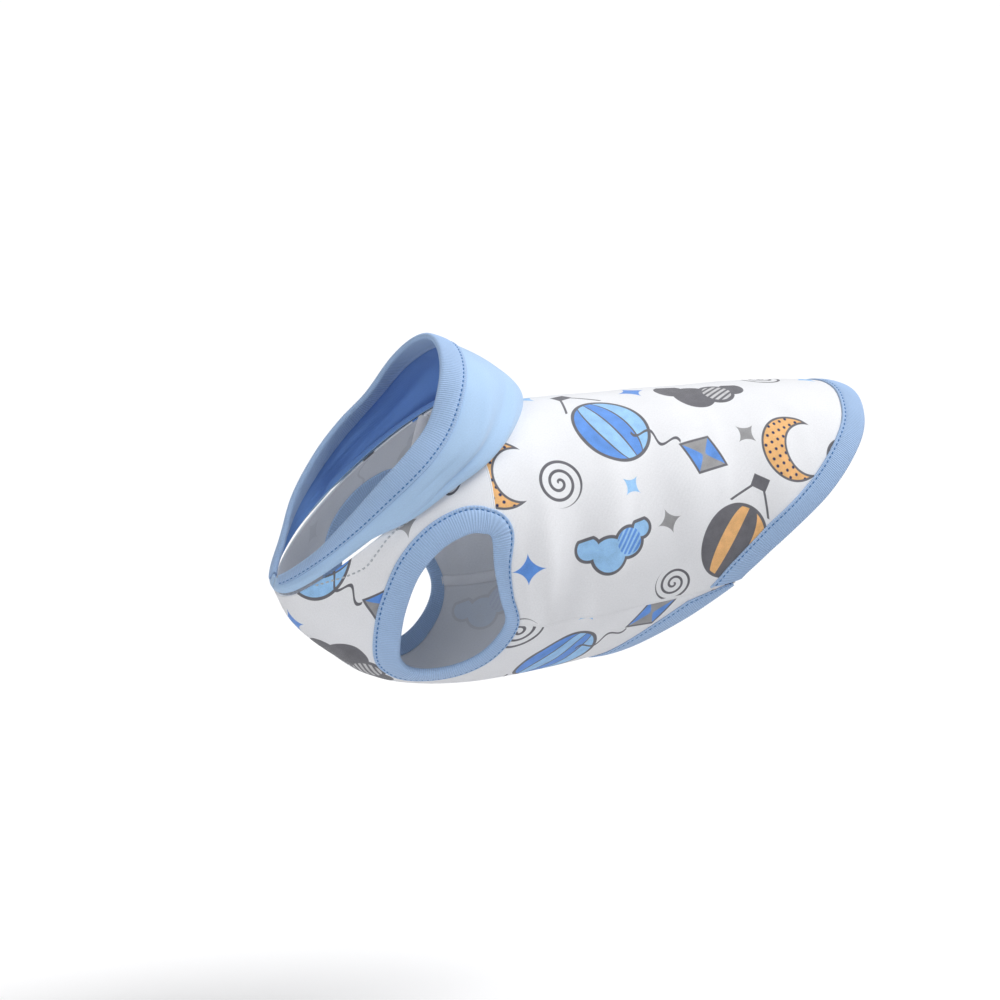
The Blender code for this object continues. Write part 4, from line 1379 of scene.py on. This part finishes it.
def make_seam(name, surface, places, material, mirrored=False):
    """Pressed seam along a path on a surface: its profile is carried along,
    across the path and raised from the cloth's middle."""
    points = surface(places[:, 0], places[:, 1])
    outward = normal(surface, places[:, 0], places[:, 1])
    along = unit(np.gradient(points, axis=0))
    across = np.cross(along, outward)
    rings = np.stack([points + across * point.across * MM + outward * point.height * MM
                      for point in SEAM_PROFILE], axis=1)
    if mirrored:
        rings = rings[::-1] * (-1.0, 1.0, 1.0)
    count, size = rings.shape[:2]
    faces = grid_faces(count, size, around=True)[:, ::-1]
    ends = (range(size - 1, -1, -1), range((count - 1) * size, count * size))
    length = path_length(points)
    width = table_of(SEAM_PROFILE)[:, 0] * MM
    flat = np.stack(np.broadcast_arrays(length[:, None], width[None]), axis=-1)
    seam = make_piece(name, rings, faces, [material], flat, caps=ends)
    return seam


class DOGTOP_OT_body(Operator):
    """Make the printed back and chest panels"""

    bl_idname = "dogtop.body"
    bl_label = "Body Panels"

    def execute(self, context):
        make_panel("back_panel_cloth", back_domain((30, 34, 42), 120), False, "back_panel")
        make_panel("chest_panel_cloth", chest_domain(44, 34, 96, 46), True, "chest_panel")
        return {"FINISHED"}


class DOGTOP_OT_hood(Operator):
    """Make both halves of the hood"""

    bl_idname = "dogtop.hood"
    bl_label = "Hood"

    def execute(self, context):
        row = np.linspace(0, LAST_HOOD_ROW, 121)[:, None]
        across = even(110)[None]
        points = hood_surface(row, across)
        points[..., 0] = np.abs(points[..., 0]) + SEAM_GAP / 2
        faces = grid_faces(*points.shape[:2])
        places = np.stack([run_length(points, 0, 0), run_length(points, 1, 0)], axis=-1)
        for name, side in (("hood_left", 1), ("hood_right", -1)):
            shape = points * (side, 1.0, 1.0)
            hood = make_piece(name + "_cloth", shape, faces if side > 0 else faces[:, ::-1],
                              hood_jersey(), places)
            add_wall(hood, sizes().cloth_thickness)
            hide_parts(name)
        return {"FINISHED"}


class DOGTOP_OT_bindings(Operator):
    """Make the rib bindings of the armholes, hems and hood, with stitches"""

    bl_idname = "dogtop.bindings"
    bl_label = "Bindings"

    def execute(self, context):
        thread = cached("blue_thread", thread_material, colours().blue_thread)
        self.armholes(thread)
        self.back_hem(thread)
        self.belly_hem(thread)
        self.hood_edge(thread)
        return {"FINISHED"}

    def stitch(self, name, path, outward, thread, closed=False):
        """Stitches of one band, in the groove of its profile."""
        stitches = make_stitches(name, path, outward, thread, closed)

    def armholes(self, thread):
        """Closed bands round both armholes."""
        rough = armhole_edge(400)[0]
        edge, width = armhole_edge(steps_for(np.concatenate([rough, rough[:1]])))
        rings, places, path, outward = band_rings(drape, edge, width, closed=True)
        mirror = (-1.0, 1.0, 1.0)
        for side in ("left", "right"):
            make_band("armhole_binding_" + side + "_rib", rings, places, True,
                      "armhole_binding_" + side)
            self.stitch("armhole_stitches_" + side, path, outward, thread, True)
            rings, places = rings[::-1] * mirror, places[::-1]
            path, outward = path[::-1] * mirror, outward[::-1] * mirror

    def back_hem(self, thread):
        """Band along the tail hem, from one side seam to the other."""
        steps = steps_for(back_hem_edge(200))
        edge = back_hem_edge(steps)[: -steps // 90]
        along, square, left = seam_slopes(edge, -1)
        lean = along / square * np.exp(-left / BINDING_WIDTH)
        rings, places, path, outward = band_rings(drape, edge, BINDING_WIDTH, lean=lean)
        make_band("hem_binding_back_rib", both_sides(rings, True), both_places(places, True),
                  False, "hem_binding_back")
        self.stitch("hem_stitches_back", both_sides(path, True), both_sides(outward, True), thread)

    def belly_hem(self, thread):
        """Band along the belly hem, from one side seam to the other."""
        steps = steps_for(belly_hem_edge(200))
        edge = belly_hem_edge(steps)[: -steps // 60][::-1]
        along, square, left = seam_slopes(edge, 0)
        room = CORNER_BAND_WIDTH + left * abs(square / along) * CORNER_SHARE
        rings, places, path, outward = band_rings(drape, edge, np.minimum(BINDING_WIDTH, room))
        rings[-1, :, 0] = 0.0
        make_band("hem_binding_belly_rib", both_sides(rings, False), both_places(places, False),
                  False, "hem_binding_belly")
        self.stitch("hem_stitches_belly", both_sides(path, False), both_sides(outward, False), thread)

    def hood_edge(self, thread):
        """Band over the face edge of the hood, throat to throat."""
        dense = np.linspace(HOOD_BAND_START, LAST_HOOD_ROW, 400)
        length = path_length(hood_surface(dense, 1.0))
        steps = int(round(length[-1] / sizes().rib_pitch * sizes().rib_steps))
        row = np.interp(even(steps) * length[-1], length, dense)
        edge = np.stack([row, np.ones(len(row))], axis=1)
        height = np.linalg.norm(hood_surface(row, 1.0) - hood_surface(row, 0.0), axis=1)
        width = np.minimum(BINDING_WIDTH, height * BAND_HEIGHT_SHARE)
        rings, places, path, outward = band_rings(hood_surface, edge, width)
        for points in (rings, path):
            points[..., 0] += SEAM_GAP / 2
            points[-1, ..., 0] = 0.0
        make_band("hood_binding_rib", both_sides(rings, False), both_places(places, False),
                  False, "hood_binding")
        self.stitch("hood_stitches", both_sides(path, False), both_sides(outward, False), thread)


class DOGTOP_OT_seams(Operator):
    """Make the pressed seams and the topstitch of the neckline"""

    bl_idname = "dogtop.seams"
    bl_label = "Seams"

    def execute(self, context):
        white = cached("white_seam", jersey_material, colours().white)
        blue = hood_jersey()[0]
        shoulder = sample(SHOULDER_SEAM, even(90))
        side = sample((BACK_HEM[-1], ARMHOLE[ARMHOLE_SIDE_ROW]), even(120))[6:-4]
        for name, mirrored in (("left", False), ("right", True)):
            make_seam("shoulder_seam_" + name, drape, shoulder[:-3], white, mirrored)
            make_seam("side_seam_" + name, drape, side, white, mirrored)
        crown = np.stack([np.full(140, LAST_HOOD_ROW), np.linspace(0.01, 0.93, 140)], axis=1)
        seam = make_seam("hood_centre_seam", hood_surface, crown, blue)
        self.neck_stitches()
        return {"FINISHED"}

    def neck_stitches(self):
        """Pale topstitch on the body cloth, just behind the neckline."""
        thread = cached("grey_thread", thread_material, colours().grey_thread)
        angle, station = sample(NECK_STITCHES, even(500)).T
        path = drape(angle, station)
        outward = normal(drape, angle, station)
        both = np.concatenate([path, (path[::-1] * (-1.0, 1.0, 1.0))[1:]])
        away = np.concatenate([outward, (outward[::-1] * (-1.0, 1.0, 1.0))[1:]])
        stitches = make_stitches("neck_stitches", both, away, thread, height=0.50)


class DOGTOP_OT_stage(Operator):
    """Make the pale floor, the soft lights and the camera"""

    bl_idname = "dogtop.stage"
    bl_label = "Stage"

    def execute(self, context):
        context.scene.view_settings.view_transform = "Standard"
        self.floor()
        self.lights()
        self.camera()
        return {"FINISHED"}

    def floor(self):
        """Wide pale floor."""
        size, level = 30.0, -0.26
        material, graph, shader = new_material("pale_floor")
        shader.inputs["Base Color"].default_value = linear(colours().floor)
        shader.inputs["Roughness"].default_value = 0.9
        shader.inputs["Emission Color"].default_value = (1.0, 1.0, 1.0, 1.0)
        seen = graph.node("ShaderNodeLightPath").outputs["Is Camera Ray"]
        graph.put(shader.inputs["Emission Strength"], graph.math("MULTIPLY", seen, 0.36))
        mesh = bpy.data.meshes.new("floor")
        corners = [(-size, -size, level), (size, -size, level), (size, size, level), (-size, size, level)]
        mesh.from_pydata(corners, [], [(0, 1, 2, 3)])
        mesh.materials.append(material)
        floor = bpy.data.objects.new("floor", mesh)
        bpy.context.scene.collection.objects.link(floor)

    def lights(self):
        """Broad soft box above, a front fill, and a white surround."""
        world = bpy.data.worlds.new("white_surround")
        world.use_nodes = True
        graph = Graph(world.node_tree)
        seen = graph.node("ShaderNodeLightPath").outputs["Is Camera Ray"]
        strength = graph.math("ADD", SURROUND, graph.math("MULTIPLY", seen, 1.0 - SURROUND))
        background = world.node_tree.nodes["Background"]
        background.inputs["Color"].default_value = (1.0, 1.0, 1.0, 1.0)
        graph.put(background.inputs["Strength"], strength)
        bpy.context.scene.world = world
        for row in LAMPS:
            light = bpy.data.lights.new(row.name, row.kind)
            light.energy = row.energy
            if row.kind == "SUN":
                light.angle = np.radians(row.size)
            else:
                light.size = row.size
            lamp = bpy.data.objects.new(row.name, light)
            place = Vector((row.x, row.y, row.z))
            lamp.location = place
            lamp.rotation_euler = (Vector(VIEW_TARGET) - place).to_track_quat("-Z", "Y").to_euler()
            bpy.context.scene.collection.objects.link(lamp)

    def camera(self):
        """Camera at the photograph's angle of view."""
        azimuth, elevation = np.radians((VIEW_AZIMUTH, VIEW_ELEVATION))
        back = Vector((np.sin(azimuth) * np.cos(elevation), -np.cos(azimuth) * np.cos(elevation),
                       np.sin(elevation)))
        lens = bpy.data.cameras.new("camera")
        lens.sensor_width = SENSOR
        lens.lens = SENSOR * VIEW_DISTANCE / VIEW_WIDTH
        lens.shift_x, lens.shift_y = VIEW_SHIFT
        lens.clip_end = 60.0
        camera = bpy.data.objects.new("camera", lens)
        camera.location = Vector(VIEW_TARGET) + back * VIEW_DISTANCE
        camera.rotation_euler = back.to_track_quat("Z", "Y").to_euler()
        bpy.context.scene.collection.objects.link(camera)
        bpy.context.scene.camera = camera


OPERATORS = (
    DOGTOP_OT_stage,
    DOGTOP_OT_body,
    DOGTOP_OT_hood,
    DOGTOP_OT_bindings,
    DOGTOP_OT_seams,
)


class DOGTOP_PT_sidebar(Panel):
    """Sizes, colours and steps of the top"""

    bl_label = "Dog Top"
    bl_idname = "DOGTOP_PT_sidebar"
    bl_space_type = "VIEW_3D"
    bl_region_type = "UI"
    bl_category = "Dog Top"

    def draw(self, context):
        layout = self.layout
        for group in (context.scene.dog_top_sizes, context.scene.dog_top_colours):
            column = layout.column(align=True)
            for name in group.__annotations__:
                column.prop(group, name)
        for operator in OPERATORS:
            layout.operator(operator.bl_idname)


CLASSES = (TopSizes, TopColours) + OPERATORS + (DOGTOP_PT_sidebar,)


def register():
    """Register the classes and hang the settings on the scene."""
    for kind in CLASSES:
        bpy.utils.register_class(kind)
    bpy.types.Scene.dog_top_sizes = PointerProperty(type=TopSizes)
    bpy.types.Scene.dog_top_colours = PointerProperty(type=TopColours)


def unregister():
    """Take the settings and the classes away."""
    del bpy.types.Scene.dog_top_colours
    del bpy.types.Scene.dog_top_sizes
    for kind in reversed(CLASSES):
        bpy.utils.unregister_class(kind)


def main():
    """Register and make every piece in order."""
    register()
    bpy.ops.dogtop.stage()
    bpy.ops.dogtop.body()
    bpy.ops.dogtop.hood()
    bpy.ops.dogtop.bindings()
    bpy.ops.dogtop.seams()


if __name__ == "__main__":
    main()
